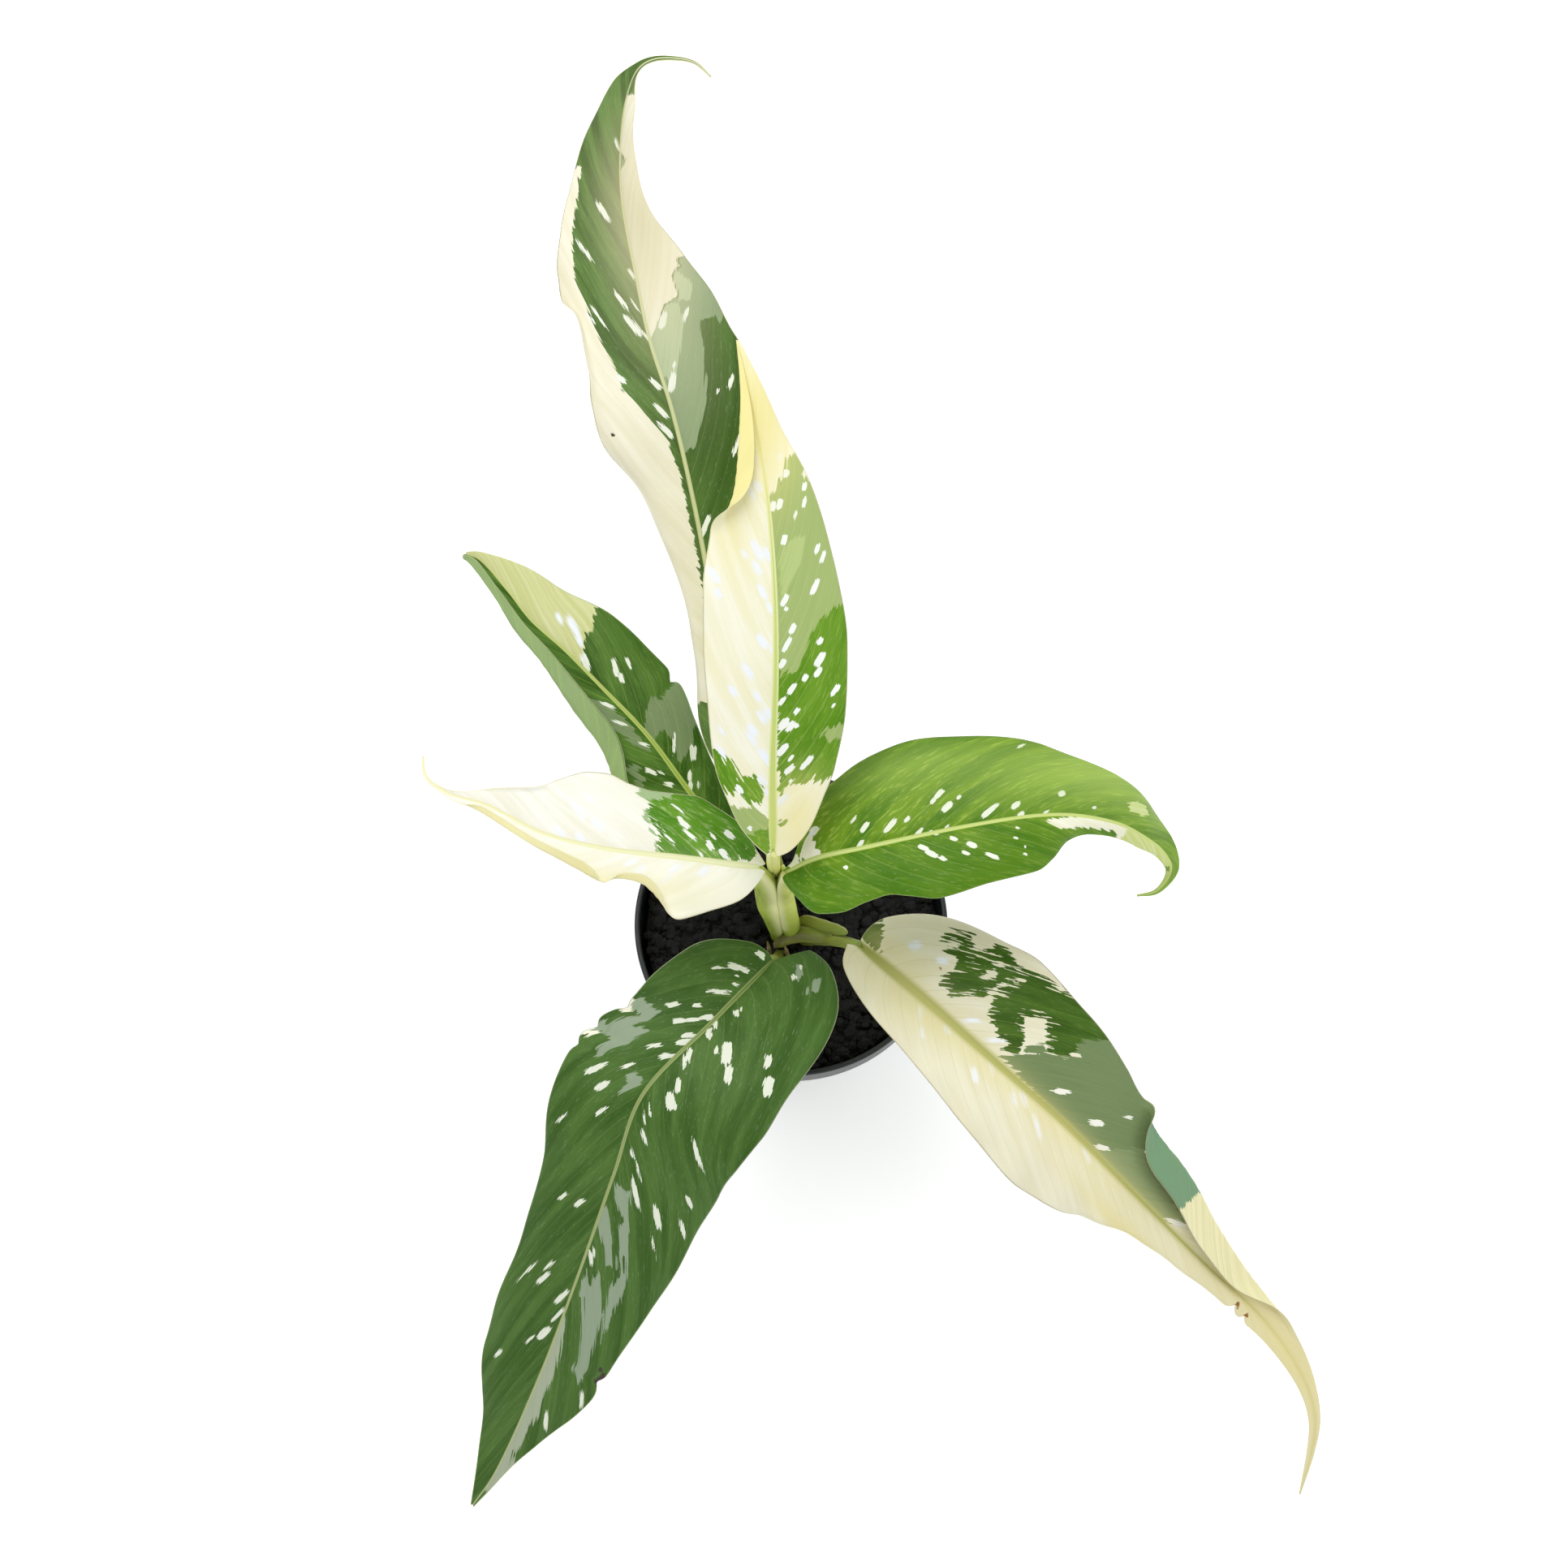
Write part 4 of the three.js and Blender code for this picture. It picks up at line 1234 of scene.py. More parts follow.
        # Warm stains and scorch are the leaf's own colour; the third kind is painted shade
        for key, stains in (("warm", self.warm), ("painted_shade", self.painted_shade), ("scorch", self.scorch)):
            strengths = (stain.depth(along, flat) for stain in stains)
            values[key] = np.minimum(sum(strengths, np.zeros(flat.shape)), 1.0)
        below = thickness / 2 + keel - relief
        return sheet(points, normals, above, below, values, (vein * CM, flat * CM))

    def build(self, name: str, finish: BladeFinish, slot: str) -> Object:
        """Makes the blade in place of the node of that name."""
        piece = self.shape(finish.ground).to_object(f"{name}_blade")
        return settle(piece, finish.material(f"{name}_skin"), name)


@dataclass(frozen=True)
class Fold:
    """A ridge or seam that runs along a stalk, where one sheath edge laps over another.

    Attributes:
        turn: its angle round the stalk at the foot and at the top, in degrees, 0 on the right and
            270 toward the viewer.
        span: where along the stalk it starts and ends, from 0 to 1.
        height: how far it stands out, in millimetres, negative for a seam.
        width: its half-width, in degrees.
        pale: how strongly the pale fold colour, partly a painted highlight, shows on it, from 0 to 1.
        dark: how strongly painted shade shows in its seam, from 0 to 1.
    """

    turn: tuple[float, float]
    span: tuple[float, float]
    height: float
    width: float
    pale: float = 0.0
    dark: float = 0.0

    def bell(self, place: Array, angle: Array) -> Array:
        """The fold's profile: a bell over the angle, faded out at both ends.

        Args:
            place: places along the stalk.
            angle: angles round it, in degrees.

        Returns:
            One height from 0 to 1 for each.
        """
        middle = self.turn[0] + (self.turn[1] - self.turn[0]) * place
        apart = (angle - middle + 180.0) % 360.0 - 180.0
        ends = smooth(place, self.span[0] - 0.06, self.span[0] + 0.06)
        ends = ends * (1 - smooth(place, self.span[1] - 0.06, self.span[1] + 0.06))
        return ends * np.exp(-((apart / self.width) ** 2))


@dataclass(frozen=True)
class Stalk:
    """A fleshy stalk: an oval section of changing size carried along a path, with folds along it.

    Attributes:
        path: its centre line.
        section: rows of (place along, half-width across, half-depth front to back).
        folds: the ridges and seams on it.
        rows: rings along it.
        sides: points round each ring.
    """

    path: tuple[Point, ...]
    section: tuple[tuple[float, float, float], ...]
    folds: tuple[Fold, ...] = ()
    rows: int = 100
    sides: int = 64

    def shape(self) -> Shape:
        """The closed tube with everything its material reads.

        A ring's point is the centre, plus half-width times cosine across, plus half-depth times sine
        to the back, plus the folds' heights. A slow ripple keeps the tube from looking turned.

        Returns:
            The shape.
        """
        place = np.linspace(0, 1, self.rows)
        centre, forward, length = SpaceCurve(self.path).frames(place)
        across = unit(np.array([1.0, 0.0, 0.0]) - forward * forward[:, :1])
        depth = np.cross(forward, across)
        table = np.asarray(self.section)
        half_width = along_rows(table[:, [0, 1]], place)[:, None]
        half_depth = along_rows(table[:, [0, 2]], place)[:, None]
        angle = np.arange(self.sides) * (360.0 / self.sides)
        turn = np.radians(angle)[None]
        grid_place = np.broadcast_to(place[:, None], (self.rows, self.sides))
        grid_angle = np.broadcast_to(angle[None], grid_place.shape)
        lift = 0.06 * np.sin(3 * turn + 9 * place[:, None]) + 0.05 * np.sin(31 * place[:, None] + 2 * turn)
        pale = np.zeros(grid_place.shape)
        dark = np.zeros(grid_place.shape)
        # A fold's dark share is painted shade in its seam; its pale share is partly a painted highlight on
        # its ridge
        for fold in self.folds:
            bell = fold.bell(grid_place, grid_angle)
            lift = lift + fold.height * bell
            pale = np.maximum(pale, fold.pale * bell)
            dark = np.maximum(dark, fold.dark * bell)
        ring = (half_width + lift)[..., None] * np.cos(turn)[..., None] * across[:, None]
        ring = ring + (half_depth + lift)[..., None] * np.sin(turn)[..., None] * depth[:, None]
        points = centre[:, None] + ring
        quads, triangles = tube_faces(self.rows, self.sides)
        ends = np.stack([centre[0], centre[-1]])

        def full(value: Array, first: float, last: float) -> Array:
            """A grid's value on the rings, then on the two middle points."""
            return np.concatenate([value.ravel(), [first, last]])

        girth = np.broadcast_to(angle[None] / 360 * STALK_GIRTH, grid_place.shape)
        flow = np.stack([full(girth, 0, 0), full(grid_place * length * CM, 0, length * CM)], axis=-1)
        values = {
            "along": full(grid_place, 0, 1),
            "seam": full(dark, 0, 0),
            "fold": full(pale, 0, 0),
        }
        return Shape(np.concatenate([points.reshape(-1, 3), ends]), quads, triangles, values, flow)


def turned(profile: Array, sides: int) -> Shape:
    """A body of revolution about the Z axis.

    Args:
        profile: (radius, height) points. The first and the last lie on the axis.
        sides: points round the axis.

    Returns:
        A closed shape, with the two end points as poles.
    """
    turn = np.linspace(0, 2 * math.pi, sides, endpoint=False)
    radius, height = profile[1:-1, :1], profile[1:-1, 1:]
    rings = np.stack([radius * np.cos(turn), radius * np.sin(turn), height + 0 * turn], axis=-1)
    poles = np.array([[0, 0, profile[0, 1]], [0, 0, profile[-1, 1]]])
    quads, triangles = tube_faces(len(rings), sides)
    return Shape(np.concatenate([rings.reshape(-1, 3), poles]), quads, triangles, {})


@dataclass(frozen=True)
class Pot:
    """The nursery pot: a tapered cup with a stepped collar, a rolled rim and drain holes.

    Attributes:
        sides: points round it.
        finish: its plastic.
    """

    sides: int = 256
    finish: PlasticFinish = PlasticFinish()

    def inner_radius(self, height: float) -> float:
        """Inner radius of the tapered body at a height."""
        top = RIM_RADIUS - COLLAR_STEP
        return BASE_RADIUS + (top - BASE_RADIUS) * height / (POT_HEIGHT - COLLAR_HEIGHT) - WALL

    def profile(self) -> Array:
        """The wall's outline from the middle of the underside over the rim to the middle of the floor.

        The foot, the step under the collar and the rim are quarter and half circles.

        Returns:
            (radius, height) points.
        """
        collar_bottom = POT_HEIGHT - COLLAR_HEIGHT
        body_top = RIM_RADIUS - COLLAR_STEP
        inside = RIM_RADIUS - RIM_WIDTH

        def arc(centre: tuple[float, float], radius: float, start: float, end: float) -> Array:
            """Points on part of a circle, from one angle to another in degrees."""
            turn = np.radians(np.linspace(start, end, 7))
            return np.stack([centre[0] + radius * np.cos(turn), centre[1] + radius * np.sin(turn)], -1)

        foot_ring = np.array([[BASE_RADIUS - 6.0, 0.0], [BASE_RADIUS - 5.4, 0.0]])
        recess = np.array([[0.0, 0.8], [BASE_RADIUS - 6.6, 0.8]])
        foot = arc((BASE_RADIUS - 1.0, 1.0), 1.0, -90, 0)
        under_collar = np.array([
            [body_top - 0.25, collar_bottom - 1.2], [body_top, collar_bottom - 0.3],
            [body_top + 0.3, collar_bottom], [RIM_RADIUS - 1.2, collar_bottom],
        ])
        collar = arc((RIM_RADIUS - 1.3, collar_bottom + 0.5), 0.5, -90, 0)
        rim_foot = np.array([[RIM_RADIUS - 0.6, POT_HEIGHT - 3.4], [RIM_RADIUS - 0.5, POT_HEIGHT - 2.9]])
        rim_out = arc((RIM_RADIUS - 1.0, POT_HEIGHT - 1.0), 1.0, -20, 90)
        rim_in = arc((inside + 0.7, POT_HEIGHT - 0.7), 0.7, 90, 180)
        down = np.array([
            [inside - 0.2, collar_bottom + WALL + 0.4], [inside - 0.4, collar_bottom + WALL],
            [self.inner_radius(collar_bottom) + 0.3, collar_bottom - WALL + 0.4],
            [self.inner_radius(collar_bottom), collar_bottom - WALL],
        ])
        steps = np.linspace(collar_bottom - 12, POT_FLOOR + 2.0, 9)
        wall = np.array([[self.inner_radius(height), height] for height in steps])
        corner = arc((self.inner_radius(POT_FLOOR) - 1.5, POT_FLOOR + 1.5), 1.5, 0, -90)
        return np.concatenate([
            recess, foot_ring, foot, under_collar, collar, rim_foot, rim_out, rim_in, down, wall, corner,
            [[12.0, POT_FLOOR], [0.0, POT_FLOOR]],
        ])

    def drills(self) -> Shape:
        """The rods that cut the drain holes.

        Returns:
            One shape.
        """
        rod = np.array([[0, -3.0], [DRAIN_RADIUS, -3.0], [DRAIN_RADIUS, 6.0], [0, 6.0]])
        shapes = []
        for turn in np.arange(DRAIN_HOLES) * (2 * math.pi / DRAIN_HOLES):
            drill = turned(rod, 32)
            shift = (DRAIN_RING_RADIUS * math.cos(turn), DRAIN_RING_RADIUS * math.sin(turn), 0.0)
            shapes.append(Shape(drill.points + shift, drill.quads, drill.triangles, {}))
        return joined(shapes)

    def build(self) -> Object:
        """Makes the pot in place of its node, with its drain holes cut.

        Returns:
            The finished piece.
        """
        piece = turned(self.profile(), self.sides).to_object("pot_shell")
        drill = self.drills().to_object("drain_drills")
        cut = piece.modifiers.new("drain", "BOOLEAN")
        cut.operation = "DIFFERENCE"
        cut.solver = "EXACT"
        cut.object = drill
        evaluated = piece.evaluated_get(bpy.context.evaluated_depsgraph_get())
        drilled = bpy.data.meshes.new_from_object(evaluated)
        piece.modifiers.clear()
        piece.data = drilled
        bpy.data.objects.remove(drill)
        piece.data.materials.clear()
        return settle(piece, self.finish.material("pot_plastic"), "pot")


@dataclass(frozen=True)
class Grit:
    """Loose grains that lie on the mix: angular lumps cut by random planes.

    Attributes:
        count: how many grains.
        sizes: smallest and largest half-size, in millimetres.
        seed: seed of the random draws.
        chips: share of brown chips.
        finish: its colours.
    """

    count: int = 3000
    sizes: tuple[float, float] = (0.7, 2.5)
    seed: int = 7
    chips: float = 0.006
    finish: GritFinish = GritFinish()

    def lump(self) -> tuple[Array, Array]:
        """Directions and faces of one lump: a cube with each side cut in four, blown up to a ball.

        Returns:
            Unit directions of shape (26, 3) and outward quads of shape (24, 4).
        """
        step = np.array([-1.0, 0.0, 1.0])
        grid = np.stack(np.meshgrid(step, step, step, indexing="ij"), axis=-1).reshape(-1, 3)
        keep = np.abs(grid).max(axis=1) > 0.5
        number = np.cumsum(keep) - 1
        # The corners of a quad run one way round on the cube's high sides and the other way on its low
        # sides, so that all quads face outward
        rounds = {2: ((0, 0), (1, 0), (1, 1), (0, 1)), 0: ((0, 1), (1, 1), (1, 0), (0, 0))}
        quads = [
            [np.roll((end, a + i, b + j), axis) @ (9, 3, 1) for i, j in rounds[end]]
            for axis, end, a, b in product(range(3), (0, 2), range(2), range(2))
        ]
        return unit(grid[keep]), number[np.array(quads)]

    def shape(self) -> Shape:
        """All grains as one shape.

        A grain's radius in a direction is the nearest of a few random planes, which gives flat faces.
        Grains are scattered evenly over the disc, and small ones are more common.

        Returns:
            The shape, with each grain's tint and chip value.
        """
        draw = np.random.default_rng(self.seed)
        directions, quads = self.lump()
        low, high = self.sizes
        size = low + (high - low) * draw.random(self.count) ** 2.2
        size = np.where(draw.random(self.count) < 0.1, size * 1.25, size)
        size = np.minimum(size, high * 1.1)
        radius = (RIM_RADIUS - RIM_WIDTH - 1.0 - size) * np.sqrt(draw.random(self.count))
        turn = draw.random(self.count) * 2 * math.pi
        planes = unit(draw.normal(size=(self.count, 11, 3)))
        reach = 0.72 + 0.4 * draw.random((self.count, 11))
        facing = np.einsum("gpk,dk->gpd", planes, directions)
        radii = np.min(np.where(facing > 0.15, reach[..., None] / np.maximum(facing, 0.15), 1.25), axis=1)
        radii = np.clip(radii, 0.55, 1.25)
        stretch = 0.75 + 0.5 * draw.random((self.count, 1, 3))
        grains = directions[None] * radii[..., None] * stretch * size[:, None, None]
        height = MIX_TOP + 0.2 + size * (draw.random(self.count) * 0.9 - 0.1)
        middle = np.stack([radius * np.cos(turn), radius * np.sin(turn), height], axis=-1)
        points = (grains + middle[:, None]).reshape(-1, 3)
        each = len(directions)
        numbers = (quads[None] + (np.arange(self.count) * each)[:, None, None]).reshape(-1, 4)
        tint = np.repeat(draw.random(self.count), each)
        chip = np.repeat((draw.random(self.count) < self.chips).astype(float), each)
        return Shape(points, numbers, np.zeros((0, 3), int), {"tint": tint, "chip": chip})

    def build(self) -> Object:
        """Makes the grains, flat-shaded so that their faces catch the light.

        Returns:
            The finished piece, which replaces no node.
        """
        piece = self.shape().to_object("loose_grit")
        piece.data.shade_flat()
        return settle(piece, self.finish.material("loose_grit_stone", grained=True))


@dataclass(frozen=True)
class Studio:
    """The pale floor, the soft light and the camera of the photograph.

    Attributes:
        camera_place: the camera, in millimetres.
        tilt: how far the view drops below level, in degrees.
        field_of_view: the frame's width as an angle, in degrees.
    """

    camera_place: Point = (-2.7, -312.0, 1182.2)
    tilt: float = 71.14
    field_of_view: float = 30.0

    def camera(self) -> None:
        """Places the camera and makes it the scene's own."""
        data = bpy.data.cameras.new("view")
        data.sensor_width = 36.0
        data.lens = 0.5 * data.sensor_width / math.tan(math.radians(self.field_of_view) / 2)
        data.clip_start = 0.01
        data.clip_end = 20.0
        camera = bpy.data.objects.new("view", data)
        camera.location = tuple(value * MM for value in self.camera_place)
        camera.rotation_euler = (math.radians(90 - self.tilt), 0.0, 0.0)
        bpy.context.scene.collection.objects.link(camera)
        bpy.context.scene.camera = camera

    def floor(self) -> None:
        """A large pale floor that glows a little, so that its shadows stay faint."""
        half = 3000.0
        corners = np.array([[x * half, y * half, -0.1] for x, y in ((-1, -1), (1, -1), (1, 1), (-1, 1))])
        plane = Shape(corners, np.array([[0, 1, 2, 3]]), np.zeros((0, 3), int), {}).to_object("floor")
        graph = Graph("floor_paper")
        tint = graph.paint((244, 244, 246), (250, 250, 252), graph.noise(graph.place(), 3.0))
        graph.shader.inputs["Emission Color"].default_value = (1.0, 1.0, 1.0, 1.0)
        graph.shader.inputs["Emission Strength"].default_value = 0.42
        graph.shader.inputs["Specular IOR Level"].default_value = 0.0
        plane.data.materials.append(graph.finish(tint, 0.9))

    def lamp(self, name: str, place: Point, aim: Point, size: float, power: float, colour: Colour) -> None:
        """One soft square lamp.

        Args:
            name: its name.
            place: where it hangs, in metres.
            aim: the point it faces, in metres.
            size: its side, in metres.
            power: its power, in watts.
            colour: its display colour.
        """
        data = bpy.data.lights.new(name, "AREA")
        data.size = size
        data.energy = power
        data.color = linear(colour)[:3]
        lamp = bpy.data.objects.new(name, data)
        back = unit(np.array(place) - np.array(aim))
        across = unit(np.cross((0.0, 1.0, 0.0), back))
        up = np.cross(back, across)
        turn = np.eye(4)
        turn[:3, 0], turn[:3, 1], turn[:3, 2], turn[:3, 3] = across, up, back, place
        lamp.matrix_world = Matrix(turn.tolist())
        bpy.context.scene.collection.objects.link(lamp)

    def light(self) -> None:
        """A wide lamp overhead, a smaller one to one side, and a pale sky all round."""
        self.lamp("overhead", (-0.5, 0.7, 2.1), (0.0, 0.05, 0.1), 1.6, 26.0, (255, 253, 250))
        self.lamp("side", (1.6, -0.6, 1.3), (0.0, 0.0, 0.15), 1.0, 7.0, (250, 252, 255))
        world = bpy.data.worlds.new("studio")
        world.use_nodes = True
        background = world.node_tree.nodes["Background"]
        background.inputs["Color"].default_value = (0.96, 0.98, 1.0, 1.0)
        background.inputs["Strength"].default_value = 0.62
        bpy.context.scene.world = world

    def build(self) -> None:
        """Sets up the floor, the light and the camera."""
        bpy.context.scene.view_settings.view_transform = "Standard"
        self.floor()
        self.light()
        self.camera()


# The blades. The midribs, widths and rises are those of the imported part.

LEAF_BACK = Blade(
    midrib=((-18, 32, 193), (-26, 72, 223), (-34, 111, 244), (-42, 143, 256), (-50, 168, 261),
        (-55, 192, 263), (-60.5, 223, 262), (-61.5, 247, 258), (-60, 271, 252), (-56, 287, 246),
        (-51, 292.5, 243), (-44, 295, 240), (-36, 295, 237), (-30, 291, 234)),
    left=Half(
        width=((0, 3), (0.03, 11), (0.08, 13.5), (0.16, 12.5), (0.24, 16), (0.32, 21.5), (0.38, 29),
            (0.43, 27.5), (0.47, 25), (0.51, 25), (0.53, 25.6), (0.545, 28.5), (0.58, 28.5), (0.64, 24),
            (0.72, 17.4), (0.8, 11.6), (0.86, 7), (0.9, 2.5), (0.94, 1.3), (1, 0.4)),
        inner=((0, 18), (0.5, 14), (1, 10)),
        outer=((0, -5), (0.3, -20), (0.6, -22), (0.8, -25), (1, 0)),
        lip=((0, 0), (0.06, -30), (0.14, -80), (0.24, -75), (0.36, -40), (0.43, 0), (0.47, 70),
            (0.52, 80), (0.58, 0), (1, 0)),
        lip_start=((0, 0.6), (0.14, 0.45), (0.35, 0.55), (0.45, 0.82), (1, 0.85)),
        lip_span=0.8,
    ),
    right=Half(
        width=((0, 3), (0.03, 11), (0.08, 20), (0.16, 26), (0.24, 28), (0.32, 29), (0.38, 30),
            (0.43, 32), (0.47, 29.5), (0.52, 26), (0.58, 18.5), (0.64, 11.5), (0.72, 8), (0.8, 6),
            (0.86, 3), (0.9, 1.8), (0.94, 1.2), (1, 0.5)),
        inner=((0, 18), (0.4, 14), (0.55, 20), (0.7, 50), (0.86, 50), (0.92, 10), (1, 0)),
        outer=((0, -5), (0.4, -15), (0.55, 0), (0.7, 35), (0.86, 40), (1, 0)),
    ),
    patches=(
        Patch(CREAM, ((268, 0), (253, 8), (240, 9), (225, 10), (201, 14), (185, 19), (181, 26),
            (180, 16), (177, 17), (177, 15), (175, 13), (167, 14), (166, 8), (163, 6), (145, 1),
            (146, 0), (222, 0), (228, 3), (250, 0))),
        Patch(CREAM, ((228, -20), (226, -15), (218, -15.6), (208, -17.4), (195, -20.5), (180, -22),
            (147, -15), (139, -15), (133, -12), (119, -4), (100, -2.6), (60, -2.6), (45, -3), (28, -2),
            (26, -13), (40, -14), (69, -18), (102, -26), (129, -32), (169, -31), (202, -28))),
        Patch(GREY, ((250, 0), (228, 3), (222, 0))),
        Patch(GREY, ((180, 16), (181, 23), (165, 29), (159, 26), (150, 26), (153, 25), (154, 19),
            (144, 18), (127, 12), (115, 5), (115, 1), (145, 1), (163, 6), (166, 8), (167, 14),
            (175, 13), (177, 15), (177, 17))),
        Patch(LIGHT, ((150, 1), (163, 6), (166, 8), (165, 13), (159, 14), (150, 11), (139, 5),
            (140, 3))),
        Patch(LIGHT, ((177, 15), (171, 19), (167, 19), (164, 17), (165, 14), (175, 13))),
    ),
    flecks=((207, -7.5, 10, 2), (238, -1.5, 6, 1), (191, -16.5, 11, 1.5), (171, -7, 8, 1.5),
        (162, -5, 10, 2), (169, -2, 5, 1), (182, -1.5, 5, 1.5), (159, -1.5, 9, 1), (167, -17, 6, 1),
        (163, -15, 5, 1), (164, -18.5, 4, 1), (140, -3, 6, 2), (130, -4, 7, 2), (123, -4, 8, 2),
        (143, -14, 4, 2), (139, 3, 8, 2.5), (159, 15, 6, 1.5), (161, 6.5, 7, 2.5), (144, 5.5, 2, 1),
        (130, 23, 5, 1.5), (109, 19, 7, 1.5), (88, 2.5, 8, 2), (129, 17.5, 2, 1)),
    warm=(Stain(70, -22, 40, 14, 0.4), Stain(120, -32, 40, 5, 0.45), Stain(165, -28, 26, 4, 0.5),
        Stain(200, 8, 50, 16, 0.7)),
    # Painted shade over the lower right half, whose green is also deeper of its own
    painted_shade=(Stain(110, 16, 62, 18, 0.9),),
    scorch=(Stain(122, -22.8, 0.9, 0.9, 1.0),),
    rib_width=(1.3, 0.3),
    rows=410,
    columns=79,
)

LEAF_NEWEST = Blade(
    midrib=((-6.5, -6, 217), (-6.5, 18, 236), (-5.5, 47, 255.5), (-6, 72, 268), (-8.5, 100, 280),
        (-12.5, 122, 286.5), (-16.5, 142, 291), (-18.5, 151, 292)),
    left=Half(
        width=((0, 3), (0.03, 7), (0.08, 13.5), (0.16, 20.5), (0.26, 23.5), (0.38, 25.5), (0.5, 25),
            (0.6, 21.5), (0.7, 17.5), (0.8, 12), (0.9, 5.5), (1, 0.6)),
        inner=((0, 22), (0.5, 16), (1, 10)),
        outer=((0, 6), (0.4, 0), (1, 0)),
        lip=((0, 0), (0.6, 0), (0.68, 120), (0.75, 172), (0.95, 172), (1, 60)),
        lip_start=((0, 0.8), (0.6, 0.8), (0.7, 0.58), (0.9, 0.4), (1, 0.4)),
        lip_span=0.35,
    ),
    right=Half(
        width=((0, 3), (0.03, 8.5), (0.08, 15), (0.16, 22), (0.26, 25), (0.38, 25.5), (0.5, 22.5),
            (0.6, 19.5), (0.7, 15), (0.8, 9.5), (0.9, 5), (1, 0.6)),
        inner=((0, 22), (0.5, 16), (1, 10)),
        outer=((0, 2), (0.4, -18), (0.8, -15), (1, 0)),
    ),
    patches=(
        Patch(GREEN, ((134, 11), (131, 17), (127, 18), (120, 14), (103, 19), (93, 26), (74, 29),
            (48, 29), (27, 26), (24, 18), (24, 7), (23, 4), (18, 3), (115, 0), (124, 3), (127, 5),
            (126, 8))),
        Patch(GREY, ((115, 0), (120, 1), (124, 3), (127, 6), (133, 8), (134, 11), (122, 15),
            (106, 21), (92, 26), (85, 25), (80, 19), (74, 12), (62, 8), (63, 3), (61, 2))),
        Patch(LIGHT, ((107, 7), (106, 12), (99, 10), (88, 3), (101, 2))),
        Patch(GREY, ((39, 17), (42, 19), (43, 29), (39, 28), (37, 19))),
        Patch(GREEN, ((37, -22), (31, -14), (26, -11), (27, -6), (22, -3), (17, -4), (17, -9),
            (20, -12), (22, -17))),
        Patch(GREY, ((21, -16), (16, -11), (17, -8), (14, -2), (9, -2), (10, -12), (15, -18))),
        Patch(GREEN, ((19, -15), (14, -17), (10, -3), (24, 0), (0, -1), (3, -10), (13, -17),
            (16, -19))),
        Patch(GREEN, ((12, 3), (12, 5), (8, 3), (10, 2))),
        Patch(CREAM, ((106, 20), (115, 16), (126, 12.5), (132, 14), (115, 19), (106, 22))),
    ),
    flecks=((119, 1.5, 4, 2), (119, 4, 4, 2), (114, 9, 3, 1), (122, 13, 3, 1.5), (117, 12.5, 4, 1.5),
        (107, 4.5, 4, 2), (101, 15.5, 4, 1.5), (98, 17.5, 5, 1.5), (89, 14, 6, 2), (87, 3.5, 5, 2),
        (84, 4, 2, 1.5), (77, 6, 4, 2), (72, 4, 6, 2), (71, 15.5, 3, 2), (65, 15.5, 6, 2.5),
        (61, 15, 4, 2), (60, 10.5, 3, 2), (57, 6, 5, 2), (54, 21, 5, 2), (49, 20.5, 2, 1),
        (53, 2.5, 4, 1.5), (45, 3.5, 6, 2.5), (44, 6, 5, 2), (44, 8, 2, 1.5), (49, 8, 3, 1.5),
        (36, 3.5, 6, 2.5), (33, 6.5, 3, 1.5), (31, 12, 7, 2), (29, 6, 5, 2), (25, 6.5, 2, 1),
        (66, 2.5, 4, 2), (125, -9, 5, 2.5), (126, -3, 4, 2.5), (124, -5.5, 5, 1.5), (136, -2.5, 3, 1.5),
        (132, 0, 3, 1.5), (145, 0, 4, 2), (104, -5.5, 7, 2.5), (103, -2, 5, 2), (98, -6, 5, 2),
        (93, -21, 6, 2.5), (87, -20, 4, 2), (102, -10, 3, 1.5), (90, -4.5, 5, 2), (85, -2, 4, 1.5),
        (73, -5, 5, 2.5), (62, -10, 6, 2), (54, -15, 4, 2), (54, -6.5, 4, 1.5), (48, -1.5, 6, 2),
        (47, -4.5, 5, 2), (42, -7.5, 5, 2), (39, -8, 5, 1.5), (40, -18.5, 3, 1), (33, -18, 5, 1.5),
        (33, -2.5, 8, 2.5), (25, -4, 5, 2), (20, -1, 7, 1.5), (22, -12, 4, 2), (11, -8.5, 2, 1),
        (71, -1.5, 4, 1), (18, 3, 6, 2), (128, 7.5, 3, 2), (134, 6.5, 2, 1)),
    warm=(Stain(152, 0, 26, 14, 0.8), Stain(125, -14, 26, 6, 0.5), Stain(12, 10, 14, 9, 0.5)),
    rib_width=(1.9, 0.5),
    rows=240,
    columns=73,
)

